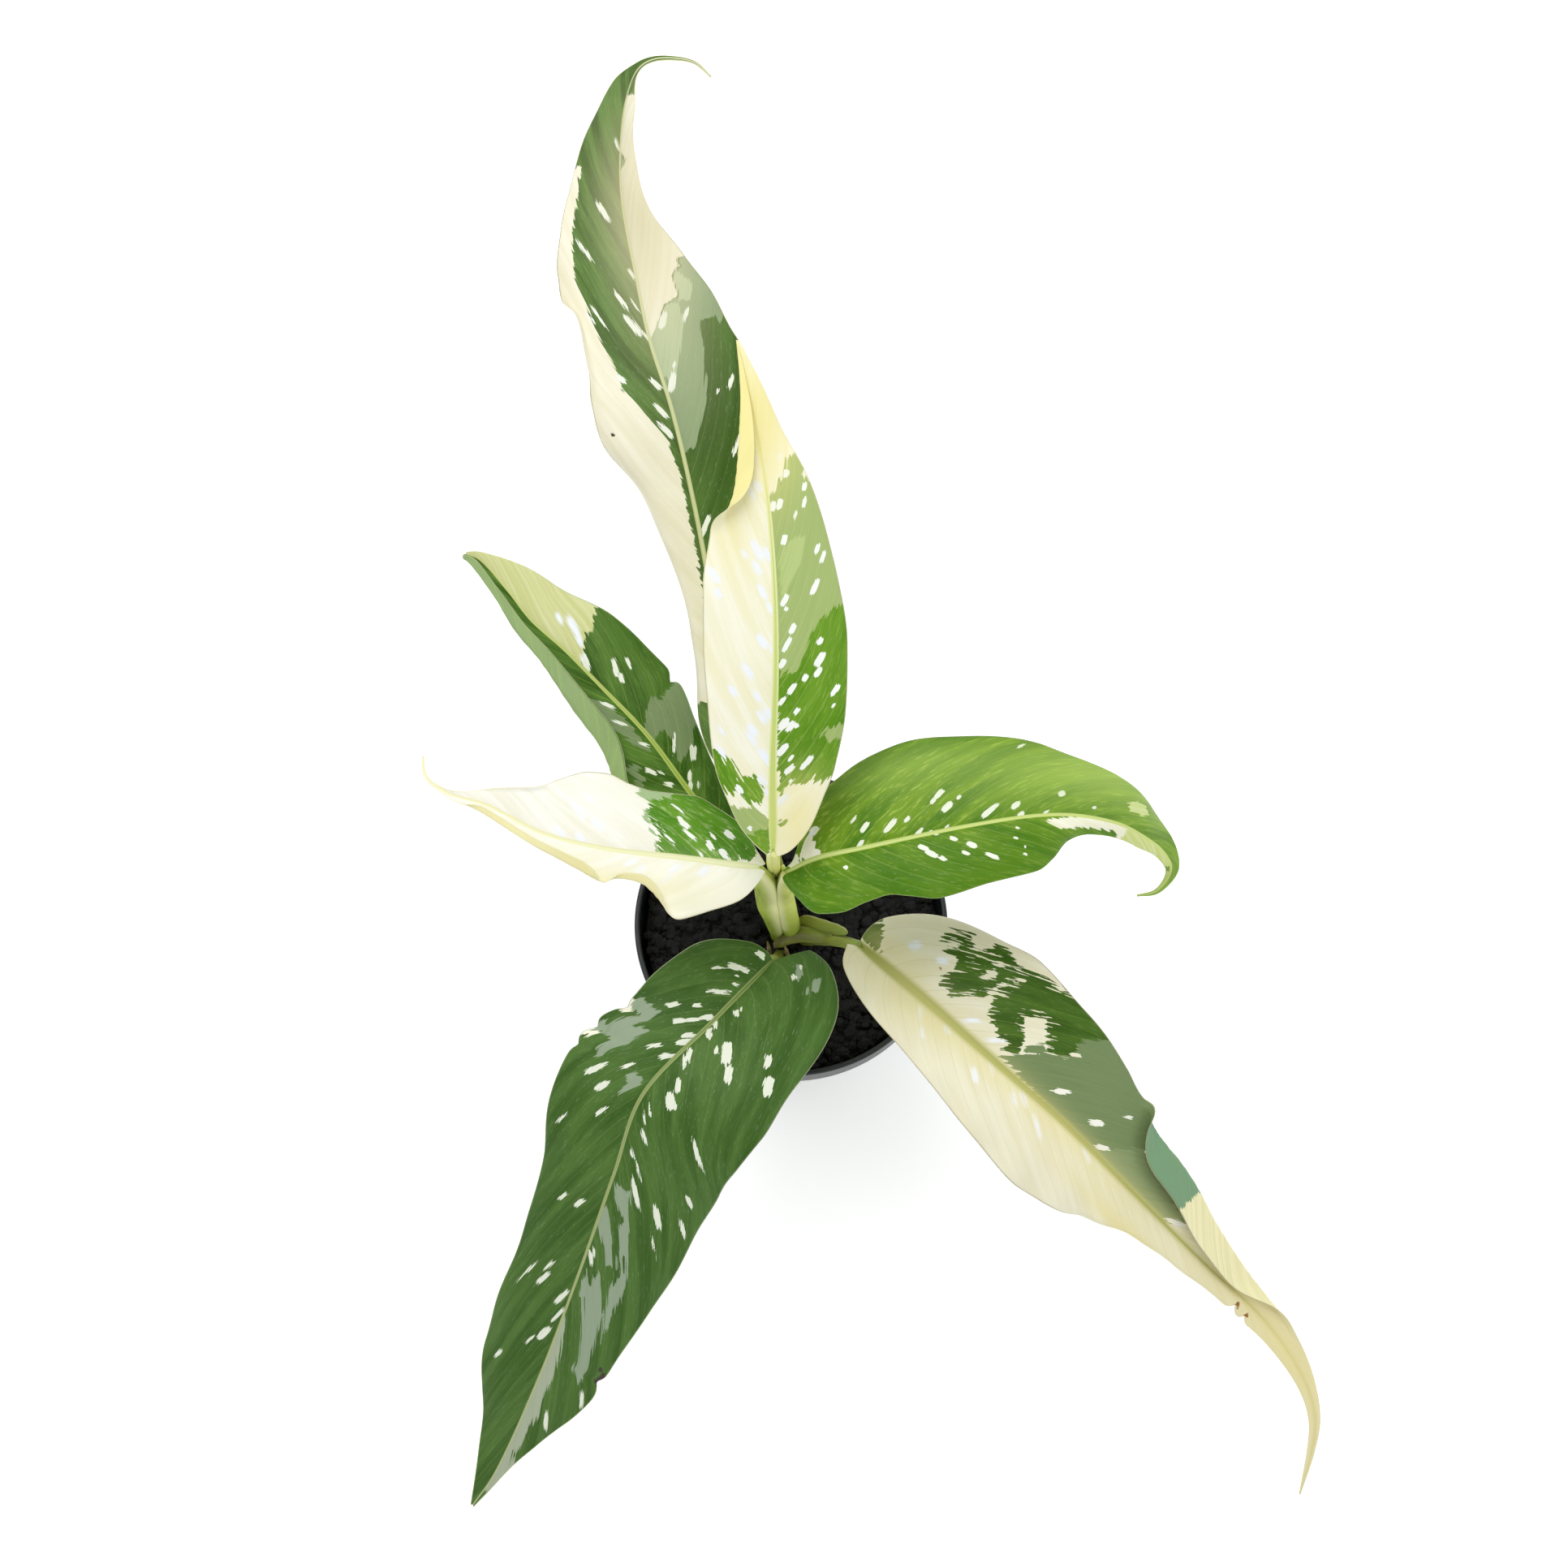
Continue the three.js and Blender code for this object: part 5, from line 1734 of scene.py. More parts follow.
LEAF_BACK_LEFT = Blade(
    midrib=((-24, 13, 171), (-37, 27, 182), (-52, 45, 192), (-68, 61, 197), (-82, 75, 199.5),
        (-94, 86, 200), (-103, 98, 199), (-114.5, 112.5, 194), (-119.5, 115.5, 192)),
    left=Half(
        width=((0, 3), (0.03, 5), (0.08, 13), (0.16, 20), (0.26, 27), (0.36, 25), (0.46, 22),
            (0.56, 18.4), (0.66, 14.2), (0.76, 11), (0.86, 9.4), (0.94, 8), (0.98, 5.5), (1, 1)),
        inner=((0, 18), (0.5, 16), (1, 30)),
        outer=((0, -5), (0.4, 0), (1, 30)),
        lip=((0, 0), (0.14, 0), (0.24, 130), (0.34, 168), (0.9, 168), (1, 60)),
        lip_start=((0, 0.8), (0.2, 0.78), (0.4, 0.62), (0.9, 0.6), (1, 0.6)),
        lip_span=0.3,
    ),
    right=Half(
        width=((0, 3), (0.03, 7), (0.08, 11), (0.16, 14), (0.26, 18), (0.36, 23), (0.46, 23.5),
            (0.56, 22), (0.66, 18), (0.76, 14.5), (0.86, 9), (0.94, 4), (1, 1)),
        inner=((0, 18), (0.5, 14), (1, 25)),
        outer=((0, -15), (0.4, -15), (1, 20)),
        nicks=((52, 0.13, 1.6),),
    ),
    patches=(
        Patch(LIME, ((170, 0), (160, 9), (129, 9), (121, 11), (113, 18), (100, 17), (93, 18),
            (86, 12), (87, 10), (78, 1), (79, 0))),
        Patch(GREY, ((54, 9), (54, 12), (50, 14), (51, 17), (50, 19), (54, 27), (51, 27), (42, 24),
            (32, 9), (32, 5), (36, 1), (40, 0), (47, 1))),
        Patch(GREEN, ((45, 4), (43, 6), (30, 3), (35, 0), (43, 1))),
        Patch(GREY, ((70, -8), (68, -5), (65, -3), (42, -3), (47, -7), (53, -8), (66, -10))),
        Patch(GREY, ((41, -15), (39, -11), (32, -12), (31, -14), (34, -15))),
    ),
    flecks=((71, 8.5, 7, 2), (67, 7.5, 4, 2), (68, 13.5, 5, 1.5), (92, 8.5, 8, 2.5), (88, 6.5, 6, 2),
        (81, 2, 7, 2.5), (98, 7.5, 4, 1.5), (31, 9.5, 6, 2.5), (26, 3.5, 4, 1.5), (23, 1.5, 4, 1.5),
        (38, 6, 8, 1), (21, 4, 3, 1), (64, -3.5, 6, 1.5), (56, -5, 6, 1.5), (45, -3.5, 5, 1),
        (35, -8, 5, 2), (33, -5, 3, 1), (28, -5, 4, 1.5)),
    rib_width=(1.3, 0.4),
    rows=200,
    columns=67,
)

LEAF_LEFT = Blade(
    midrib=((-11.5, -7.5, 200.5), (-22, -8, 206), (-39, -7.5, 212), (-65, -5.5, 216), (-86, 0.5, 214),
        (-107, 13.5, 206), (-123, 21.5, 197), (-131, 29.5, 191), (-133, 38.5, 187)),
    left=Half(
        width=((0, 3), (0.03, 7), (0.08, 14.4), (0.16, 22), (0.19, 24), (0.22, 20), (0.28, 14.5),
            (0.33, 13), (0.365, 15), (0.4, 14), (0.48, 10), (0.56, 8), (0.64, 6.8), (0.72, 5),
            (0.8, 2.5), (0.86, 1.3), (1, 0.4)),
        inner=((0, 14), (0.5, 14), (1, 30)),
        outer=((0, -20), (0.4, -14), (0.6, 0), (1, 20)),
        lip=((0, 0), (0.14, 0), (0.2, 90), (0.25, 160), (0.32, 150), (0.35, 60), (0.385, 160),
            (0.7, 165), (0.8, 0), (1, 0)),
        lip_start=((0, 0.85), (0.2, 0.84), (0.28, 0.72), (0.35, 0.8), (0.42, 0.66), (0.55, 0.62),
            (0.8, 0.55), (1, 0.5)),
        lip_span=0.4,
    ),
    right=Half(
        width=((0, 3), (0.03, 7), (0.08, 16.5), (0.16, 23.5), (0.24, 23.5), (0.3, 25), (0.36, 27.5),
            (0.42, 27), (0.48, 24), (0.56, 17), (0.64, 11), (0.72, 5.5), (0.8, 2), (0.86, 1), (1, 0.5)),
        inner=((0, 14), (0.5, 14), (1, 30)),
        outer=((0, -10), (0.4, -8), (1, 20)),
        lip=((0, 0), (0.5, 0), (0.6, 60), (0.7, 50), (0.78, 0), (1, 0)),
        lip_start=((0, 0.8), (1, 0.7)),
    ),
    patches=(
        Patch(GREEN, ((42, 21), (35, 28), (25, 27), (18, 25), (12, 20), (7, 9), (4, 10), (4, 3),
            (26, 0), (36, 1), (39, 4), (36, 7), (40, 14), (39, 18))),
        Patch(GREY, ((40, 15), (35, 1), (38, 1), (39, 4), (38, 7), (41, 12))),
        Patch(GREY, ((42, 22), (37, 28), (24, 27), (17, 24), (24, 23.4), (31, 21.5), (36, 20),
            (41, 20))),
    ),
    flecks=((28, 12.5, 5, 2), (26, 8.5, 6, 1.5), (18, 9, 3, 1), (13, 10, 4, 2), (19, 5.5, 4, 2),
        (14, 3, 5, 2), (29, 17.5, 4, 1), (22, 2, 4, 1), (33, 6, 5, 1), (66, 11, 7, 2), (62, 17, 4, 1.5),
        (59, 7.5, 5, 2), (73, 2.5, 5, 2), (65, 2, 4, 2), (46, -4, 5, 2), (42, -6.5, 5, 2.5),
        (31, -5, 5, 2.5), (21, -4.5, 5, 2.5), (33, -9.5, 5, 1.5)),
    warm=(Stain(70, -12, 30, 3, 0.6), Stain(105, -6, 30, 3, 0.5), Stain(32, -14, 40, 11, 0.5)),
    rib_width=(1.5, 0.4),
    rows=200,
    columns=69,
)

LEAF_RIGHT = Blade(
    midrib=((-1.5, -9, 200), (8, -6.5, 207), (26, -5, 216), (62, 0, 225), (85, 4, 223.5),
        (99, 5.5, 219), (114, 5.5, 210), (124, 4, 200), (132, 2, 189), (136, -1.2, 180),
        (135, -4.3, 174), (131.5, -7, 169), (125.5, -7, 164)),
    left=Half(
        width=((0, 2.4), (0.025, 3), (0.05, 6.5), (0.065, 12), (0.085, 21), (0.16, 32), (0.26, 35.5),
            (0.36, 34), (0.46, 30), (0.56, 24), (0.66, 18.5), (0.76, 13.5), (0.84, 6.5), (0.9, 2.5),
            (1, 0.4)),
        inner=((0, 16), (0.5, 14), (1, 10)),
        outer=((0, -5), (0.4, -18), (0.8, -20), (1, 0)),
    ),
    right=Half(
        width=((0, 3), (0.03, 10), (0.08, 20.8), (0.11, 22), (0.15, 20), (0.185, 19), (0.22, 21),
            (0.27, 24), (0.36, 22), (0.46, 20), (0.51, 16), (0.56, 10), (0.62, 6.5), (0.68, 5.5),
            (0.76, 5.5), (0.84, 3), (0.9, 2), (1, 0.4)),
        inner=((0, 16), (0.5, 10), (0.7, -30), (0.85, -30), (1, 0)),
        outer=((0, -8), (0.4, -25), (0.6, -60), (0.8, -75), (1, 0)),
    ),
    patches=(
        Patch(CREAM, ((6, -2), (1, 0), (15, -10), (14, -7), (15, -2), (13, -1), (11, 0))),
        Patch(CREAM, ((95, 2), (100, 5), (125, 3), (142, 9), (154, 1), (161, 0))),
        Patch(LIME, ((130, 5), (142, 9), (155, 2), (168, 0), (186, 1), (179, 1), (172, 6),
            (162, 1), (131, 0))),
        Patch(LIME, ((127, -8), (131, -11), (136, -11), (139, -8), (135, -6), (129, -6))),
    ),
    flecks=((76, -4, 8, 2), (61, -8, 5, 2.5), (58, -13, 5, 2), (56, -11, 3, 1.5), (65, -10.5, 2, 1.5),
        (41, -5.5, 7, 2), (32, -7, 5, 2), (47, -6.5, 3, 1.5), (28, -10.5, 4, 1), (51, -1, 5, 1.5),
        (56, 0, 4, 1), (61, -1, 3, 1), (30, -1.5, 4, 1.5), (85, -4.5, 4, 2), (87, -1, 3, 2),
        (96, -1, 3, 1), (101, -7.5, 3, 2), (114, -3.5, 2, 1), (87, -26.5, 4, 1), (15, -9.5, 4, 2),
        (24, 6.5, 2, 1.5), (51, 5, 4, 2), (53, 8, 5, 2), (56, 10.5, 3, 1.5), (62, 4, 3, 1.5),
        (67, 7.5, 4, 2), (64, 10, 3, 1.5), (72, 12.5, 5, 1.5), (84, 4, 2, 1), (82, 7.5, 2, 1),
        (84, 11, 1, 1), (83, 13.5, 2, 1)),
    warm=(Stain(118, -16, 46, 12, 0.6), Stain(40, -26, 40, 8, 0.3), Stain(178, 0, 16, 6, 0.5)),
    # Painted shade over the right half, which bends down toward the viewer
    painted_shade=(Stain(60, 14, 60, 12, 0.7),),
    rib_width=(1.1, 0.4),
    rows=240,
    columns=85,
)

LEAF_FRONT_RIGHT = Blade(
    midrib=((26, -24, 155), (46, -44, 163), (70.5, -67, 164), (97, -89, 155), (124, -111.5, 137),
        (148.5, -130, 115), (177, -150, 87), (195, -170.5, 62), (199, -181.5, 52), (198.5, -192.5, 43),
        (195, -207, 33)),
    left=Half(
        width=((0, 3), (0.03, 18), (0.08, 31), (0.12, 36), (0.16, 39), (0.24, 37), (0.32, 32),
            (0.365, 28.5), (0.4, 32), (0.44, 34.4), (0.5, 31), (0.56, 25.4), (0.64, 18), (0.7, 11),
            (0.76, 6.6), (0.82, 4.6), (0.88, 2.4), (0.95, 1.2), (1, 0.4)),
        inner=((0, 16), (0.5, 14), (1, 20)),
        outer=((0, -8), (0.4, -14), (0.6, 0), (1, 10)),
        lip=((0, 0), (0.362, 0), (0.39, 150), (0.42, 172), (0.62, 172), (0.7, 110), (0.8, 0), (1, 0)),
        lip_start=((0, 0.85), (0.37, 0.85), (0.4, 0.66), (0.44, 0.55), (0.5, 0.52), (0.56, 0.46),
            (0.64, 0.41), (0.75, 0.6), (1, 0.7)),
        lip_span=0.27,
    ),
    right=Half(
        width=((0, 6), (0.03, 13.5), (0.08, 17.5), (0.16, 21.6), (0.22, 25.6), (0.3, 29.5), (0.37, 25),
            (0.42, 19.5), (0.48, 15.5), (0.56, 11.5), (0.64, 8.5), (0.72, 5.8), (0.8, 4), (0.88, 2.8),
            (0.95, 1.8), (1, 0.4)),
        inner=((0, 16), (0.5, 14), (0.7, 10), (1, 10)),
        outer=((0, -10), (0.4, -22), (0.6, -35), (0.8, -20), (1, 0)),
        lip=((0, 0), (0.38, 0), (0.44, -80), (0.62, -80), (0.7, 0), (1, 0)),
        lip_start=((0, 0.85), (0.42, 0.85), (0.5, 0.62), (0.62, 0.62), (1, 0.7)),
        lip_span=0.5,
        ripple=((0, 0), (0.06, 0.9), (0.36, 1.0), (0.5, 0.4), (1, 0)),
        ripple_length=21.0,
        nicks=((203, 0.42, 1.6), (209.5, 0.3, 1.3)),
    ),
    patches=(
        Patch(GREEN, ((-14, -2), (-14, -30), (4, -30), (8, -19), (9, -8), (9, -5), (7, -2))),
        Patch(GREEN, ((24, -20), (24, -26), (29, -31), (31, -25), (35, -27), (34, -33), (37, -34),
            (40, -34), (45, -32), (53, -36), (60, -36), (69, -42), (77, -35), (84, -39), (92, -37),
            (87, -27), (81, -22), (81, -19), (74, -15), (68, -22), (65, -24), (62, -22), (61, -18),
            (66, -14), (69, -8), (66, -5), (62, -3), (65, -7), (51, -11), (49, -15), (49, -18),
            (46, -18), (45, -15), (38, -7), (31, -8), (32, -17), (30, -19), (26, -17), (29, -22),
            (28, -24))),
        Patch(CREAM, ((40, -21), (40, -25), (42, -26), (43, -23))),
        Patch(CREAM, ((48, -26), (50, -29), (49, -26))),
        Patch(CREAM, ((39, -27), (40, -29), (42, -29), (41, -27))),
        Patch(CREAM, ((33, -24), (36, -26))),
        Patch(CREAM, ((45, -19), (47, -25), (47, -19))),
        Patch(GREY, ((65, -3), (75, -15), (81, -19), (83, -22), (80, -24), (79, -27), (92, -40),
            (120, -40), (150, -36), (153, -20), (161, -6), (148, 0))),
        Patch(GREY, ((68, -11), (69, -14), (72, -17), (75, -15), (70, -9))),
        Patch(LIGHT, ((106, -1), (126, -15), (134, -12), (161, -6), (148, 0))),
    ),
    flecks=((89, -8, 7, 2), (106, -8.5, 6, 2.5), (112, -18.5, 4, 1), (115, -3.5, 6, 2),
        (128, -14.5, 4, 1.5), (157, -3, 8, 2), (19, -13, 5, 2.5), (28, -15, 4, 2), (49, -5.5, 6, 1.5),
        (60, -6, 6, 1.5), (34, 5, 5, 1.5), (45, 2.5, 5, 2), (39, 10, 3, 1), (62, 9, 5, 2),
        (65, 2, 6, 1.5), (78, 6, 5, 2), (81, 3.5, 6, 2.5), (90, 8, 7, 1.5), (112, 2.5, 6, 2),
        (175, 0, 5, 1.5)),
    warm=(Stain(240, 0, 60, 14, 0.8), Stain(155, 13, 45, 4, 0.8), Stain(15, -7, 12, 6, 0.4),
        Stain(95, 3, 75, 6, 0.5), Stain(30, 5, 22, 9, 0.35)),
    scorch=(Stain(203, 5, 1.6, 1.8, 0.95), Stain(209.5, 5, 1.4, 1.6, 0.85), Stain(29, -12, 1, 0.8, 0.8),
        Stain(30, 24, 1.6, 1.2, 0.8)),
    rib_width=(2.8, 0.4),
    rows=380,
    columns=89,
)

LEAF_FRONT_LEFT = Blade(
    midrib=((-7.5, -29.5, 155), (-28, -54, 165), (-53, -80, 161), (-63.5, -105, 145),
        (-78.5, -139, 115), (-93, -169, 87), (-112, -202, 55), (-120.5, -212, 45)),
    left=Half(
        width=((0, 16), (0.02, 26), (0.05, 34), (0.08, 37), (0.13, 39.6), (0.18, 43.4), (0.24, 44.6),
            (0.32, 41.2), (0.4, 37), (0.48, 34.2), (0.56, 30.2), (0.64, 25.5), (0.72, 22.5), (0.76, 19),
            (0.8, 14.6), (0.84, 10.5), (0.9, 5), (0.95, 2.5), (1, 1)),
        inner=((0, 16), (0.5, 12), (1, 20)),
        outer=((0, -12), (0.4, -25), (0.8, -15), (1, 20)),
        nicks=((181, 0.09, 2.5),),
    ),
    right=Half(
        width=((0, 2), (0.03, 14), (0.08, 26), (0.13, 28.5), (0.17, 27.5), (0.23, 33.5), (0.31, 32),
            (0.4, 28.2), (0.48, 26.5), (0.56, 26.5), (0.64, 27), (0.72, 25.5), (0.8, 19), (0.84, 15),
            (0.9, 10), (0.95, 6), (1, 1)),
        inner=((0, 16), (0.5, 12), (1, 20)),
        outer=((0, -12), (0.4, -25), (0.8, -20), (1, 20)),
        nicks=((47, 0.07, 1.6), (57, 0.1, 2.0), (64, 0.05, 1.5)),
    ),
    patches=(
        Patch(CREAM, ((43, 30), (44, 24.5), (48, 25), (50, 30))),
        Patch(CREAM, ((56, 33), (57, 28), (61, 29.5), (61, 33))),
        Patch(GREY, ((57, 34), (54, 27), (47, 21), (46, 26), (42, 25), (42, 20), (44, 20),
            (43, 16), (52, 20), (50, 14), (52, 14), (64, 21), (65, 23), (63, 25), (59, 23))),
        Patch(GREY, ((33, 32), (31, 32), (30, 27), (33, 27))),
        Patch(GREY, ((66, 9), (64, 7), (65, 3), (67, 3), (72, 8), (68, 7))),
        Patch(GREY, ((104, -2), (105, -5), (104, -8), (133, -18), (165, -17), (142, -13),
            (134, -16), (128, -14), (134, -13), (118, -9), (115, -10), (110, -4))),
        Patch(GREY, ((117, -1), (115, -3), (120, -6), (134, -11), (135, -9), (130, -6))),
        Patch(GREY, ((145, -2), (142, -2), (146, -5), (140, -8), (154, -14), (176, -16),
            (182, -17), (185, -15), (181, -12), (168, -10), (153, -5), (154, -3))),
        Patch(LIGHT, ((152, 0), (166, -1.4), (182, -5), (207, -5.6), (228, -3.6), (246, -1.6),
            (253, 0))),
        Patch(GREY, ((4, -12), (8, -13), (9, -16), (4, -15))),
        Patch(GREY, ((8, -20), (11, -20), (10, -24), (7, -23))),
    ),
    flecks=((26, 31, 3, 2), (14, 7.5, 9, 2), (19, 12, 4, 1), (16, 5.5, 2, 1), (24, 5.5, 9, 1.5),
        (18, 3.5, 3, 1), (33, 8, 3, 1.5), (38, 14.5, 5, 2), (41, 8.5, 5, 2), (38, 5.5, 7, 1.5),
        (34, 2.5, 5, 2), (43, 2, 6, 2), (46, 1.5, 7, 2.5), (54, 2.5, 6, 1.5), (53, 8.5, 5, 1.5),
        (63, 11, 5, 1.5), (68, 20, 8, 2), (72, 14.5, 6, 2), (80, 11, 5, 1.5), (86, 24.5, 5, 1),
        (115, 15, 5, 1.5), (116, 8.5, 5, 2), (150, 18.5, 11, 1), (145, 11.5, 6, 1.5), (151, 12, 7, 2),
        (157, 3, 8, 2), (165, 2, 8, 1.5), (174, 4.5, 8, 2.5), (178, 8.5, 5, 1), (189, 18, 5, 1.5),
        (26, 31, 1, 1), (5, 6, 6, 2), (54, 3.5, 4, 1), (38, -12.5, 9, 3.5), (42, -18.5, 7, 2.5),
        (40, -9, 3, 1.5), (34, -1.5, 4, 2), (38, -2.5, 5, 2), (48, -3, 6, 2), (51, -4, 5, 1.5),
        (58, -8.5, 6, 2), (64, -10, 7, 3.5), (64, -12.5, 3, 2), (72, -5.5, 4, 1), (76, -5, 4, 1),
        (82, -7.5, 6, 1.5), (30, -25, 5, 2.5), (35, -31.5, 7, 3.5), (26, -4.5, 3, 2), (24, -4.5, 2, 1),
        (5, -14, 2, 1.5), (8, -13, 3, 1), (72, -29, 13, 2), (95, -30, 6, 2), (107, -20.5, 10, 2.5),
        (107, -31, 9, 1.5), (103, -10, 13, 2), (94, -8, 11, 1), (91, -4.5, 3, 1), (137, -2.5, 6, 2),
        (134, -3, 4, 1), (118, -23, 8, 1), (207, -9.5, 8, 1.5), (190, -18.5, 7, 1.5)),
    scorch=(Stain(179, -23, 4.5, 1.6, 0.95), Stain(175, -20.5, 2, 0.9, 0.8)),
    rib_width=(1.0, 0.35),
    rows=330,
    columns=105,
    steady=0.15,
)


BACK_SKIN = BladeFinish(
    ground=GREEN, deep=(48, 84, 8), fresh=(88, 126, 52), bright=(134, 166, 82), mottle=0.2,
    cream=(234, 229, 202), ivory=(243, 239, 218), grey=(138, 158, 118), light=(176, 192, 152),
    rib=(186, 194, 130), rib_tip=(214, 216, 176), rib_core=(208, 212, 160), edge=(222, 218, 166),
    warm=(214, 206, 166), scorch=(64, 50, 36), jag=1.9, lines=0.18,
)
NEWEST_SKIN = BladeFinish(
    ground=CREAM, deep=(80, 132, 6), fresh=(110, 154, 38), bright=(160, 192, 84), mottle=0.45,
    cream=(240, 236, 202), ivory=(246, 244, 224), grey=(162, 182, 112), light=(180, 198, 128),
    fleck=(243, 246, 240), rib=(216, 226, 148), rib_tip=(236, 234, 186), rib_core=(198, 212, 124),
    edge=(240, 236, 188), warm=(234, 222, 138), under_cream=(240, 228, 150), lace=2.5, tuft=1.0,
)
BACK_LEFT_SKIN = BladeFinish(
    ground=GREEN, deep=(46, 84, 8), fresh=(84, 122, 44), bright=(124, 158, 78), mottle=0.25,
    lime=(202, 205, 140), grey=(122, 142, 100), light=(160, 176, 128), rib=(172, 192, 92),
    rib_tip=(206, 210, 140), rib_core=(150, 176, 76), under=(160, 184, 130), cream=(226, 228, 182),
)
LEFT_SKIN = BladeFinish(
    ground=CREAM, deep=(66, 124, 4), fresh=(104, 154, 42), bright=(190, 212, 150), mottle=0.6,
    cream=(238, 236, 218), ivory=(246, 245, 236), grey=(164, 188, 140), fleck=(243, 245, 238),
    rib=(222, 226, 172), rib_tip=(242, 236, 194), rib_core=(232, 234, 192), edge=(236, 230, 184),
    warm=(234, 229, 184), under_cream=(230, 220, 150), lace=4.5,
)
RIGHT_SKIN = BladeFinish(
    ground=GREEN, deep=(68, 116, 8), fresh=(112, 150, 28), bright=(166, 192, 82), mottle=0.7,
    cream=(238, 235, 206), lime=(202, 214, 120), rib=(188, 206, 112), rib_tip=(214, 222, 140),
    rib_core=(212, 222, 150), edge=(160, 190, 104), fleck=(238, 242, 226), warm=(176, 204, 104), jag=1.8,
    tuft=0.7,
)
FRONT_RIGHT_SKIN = BladeFinish(
    ground=CREAM, deep=(50, 84, 8), fresh=(72, 106, 28), bright=(124, 150, 78), mottle=0.25,
    cream=(229, 223, 192), ivory=(235, 231, 206), grey=(114, 134, 88), light=(130, 148, 102),
    fleck=(242, 241, 228), rib=(154, 162, 70), rib_tip=(204, 198, 134), rib_core=(144, 154, 64),
    edge=(222, 214, 176), warm=(228, 216, 150), under=(116, 160, 128), lace=5.0, rib_soft=1.3,
)
FRONT_LEFT_SKIN = BladeFinish(
    ground=GREEN, deep=(56, 90, 28), fresh=(78, 112, 48), bright=(112, 146, 80), mottle=0.2,
    cream=(228, 228, 204), grey=(146, 162, 136), light=(166, 176, 150), rib=(140, 156, 92),
    rib_tip=(186, 192, 140), rib_core=(100, 126, 60), edge=(178, 190, 142), fleck=(228, 232, 214),
    scorch=(70, 58, 50),
)


ROUND_STALK = ((0, 2.4, 2.4), (0.4, 2.8, 2.6), (1, 2.3, 2.2))
LEFT_SHEATH = ((0, 2.5, 2.6), (0.25, 3.1, 2.8), (0.5, 4.1, 3), (0.8, 4.2, 2.9), (1, 2.4, 2.2))
RIGHT_SHEATH = ((0, 3.5, 2.6), (0.25, 3.6, 2.9), (0.5, 3.4, 2.9), (0.8, 2.6, 2.6), (1, 2.1, 2.1))
LOBE = ((0, 0.9, 1.4), (0.3, 1.2, 2.2), (0.75, 1.1, 2.2), (0.93, 0.8, 1.5), (1, 0.25, 0.4))
FRONT_LOBE = ((0, 1.1, 1.6), (0.2, 2.1, 3.1), (0.6, 2.1, 2.9), (0.9, 1.2, 1.8), (1, 0.25, 0.4))

OLIVE_STALK = StalkFinish(
    low=(148, 150, 66), high=(146, 166, 76), streak=(134, 122, 72), fold=(212, 208, 150),
)
LEFT_STALK = StalkFinish(
    low=(160, 184, 64), high=(200, 216, 104), streak=(124, 150, 50), fold=(250, 250, 190),
)
RIGHT_STALK = StalkFinish(
    low=(170, 198, 56), high=(240, 240, 150), streak=(206, 220, 100), fold=(250, 248, 196),
)
NEWEST_STALK = StalkFinish(low=(252, 255, 130), high=(255, 255, 170), streak=(255, 255, 190))


def lobe(path: tuple[Point, ...], section: tuple[Point, ...] = LOBE, folds: tuple[Fold, ...] = ()) -> Stalk:
    """A rolled free edge of a sheath: a small flattened rod that needs fewer points than a stalk."""
    return Stalk(path, section, folds, rows=60, sides=36)


@dataclass(frozen=True)
class StalkPart:
    """One stalk with the free lobes of its sheath, standing for its node.

    Attributes:
        node: the node it stands for.
        slot: the name of a material slot, which nothing reads.
        finish: its colours.
        stalk: the stalk itself.
        lobes: flattened rods that are the rolled free edges of its sheath.
    """

    node: str
    slot: str
    finish: StalkFinish
    stalk: Stalk
    lobes: tuple[Stalk, ...] = ()

    def build(self) -> Object:
        """Makes the stalk and its lobes as one piece."""
        piece = joined([part.shape() for part in (self.stalk, *self.lobes)]).to_object(f"{self.node}_stalk")
        return settle(piece, self.finish.material(f"{self.node}_skin"), self.node)


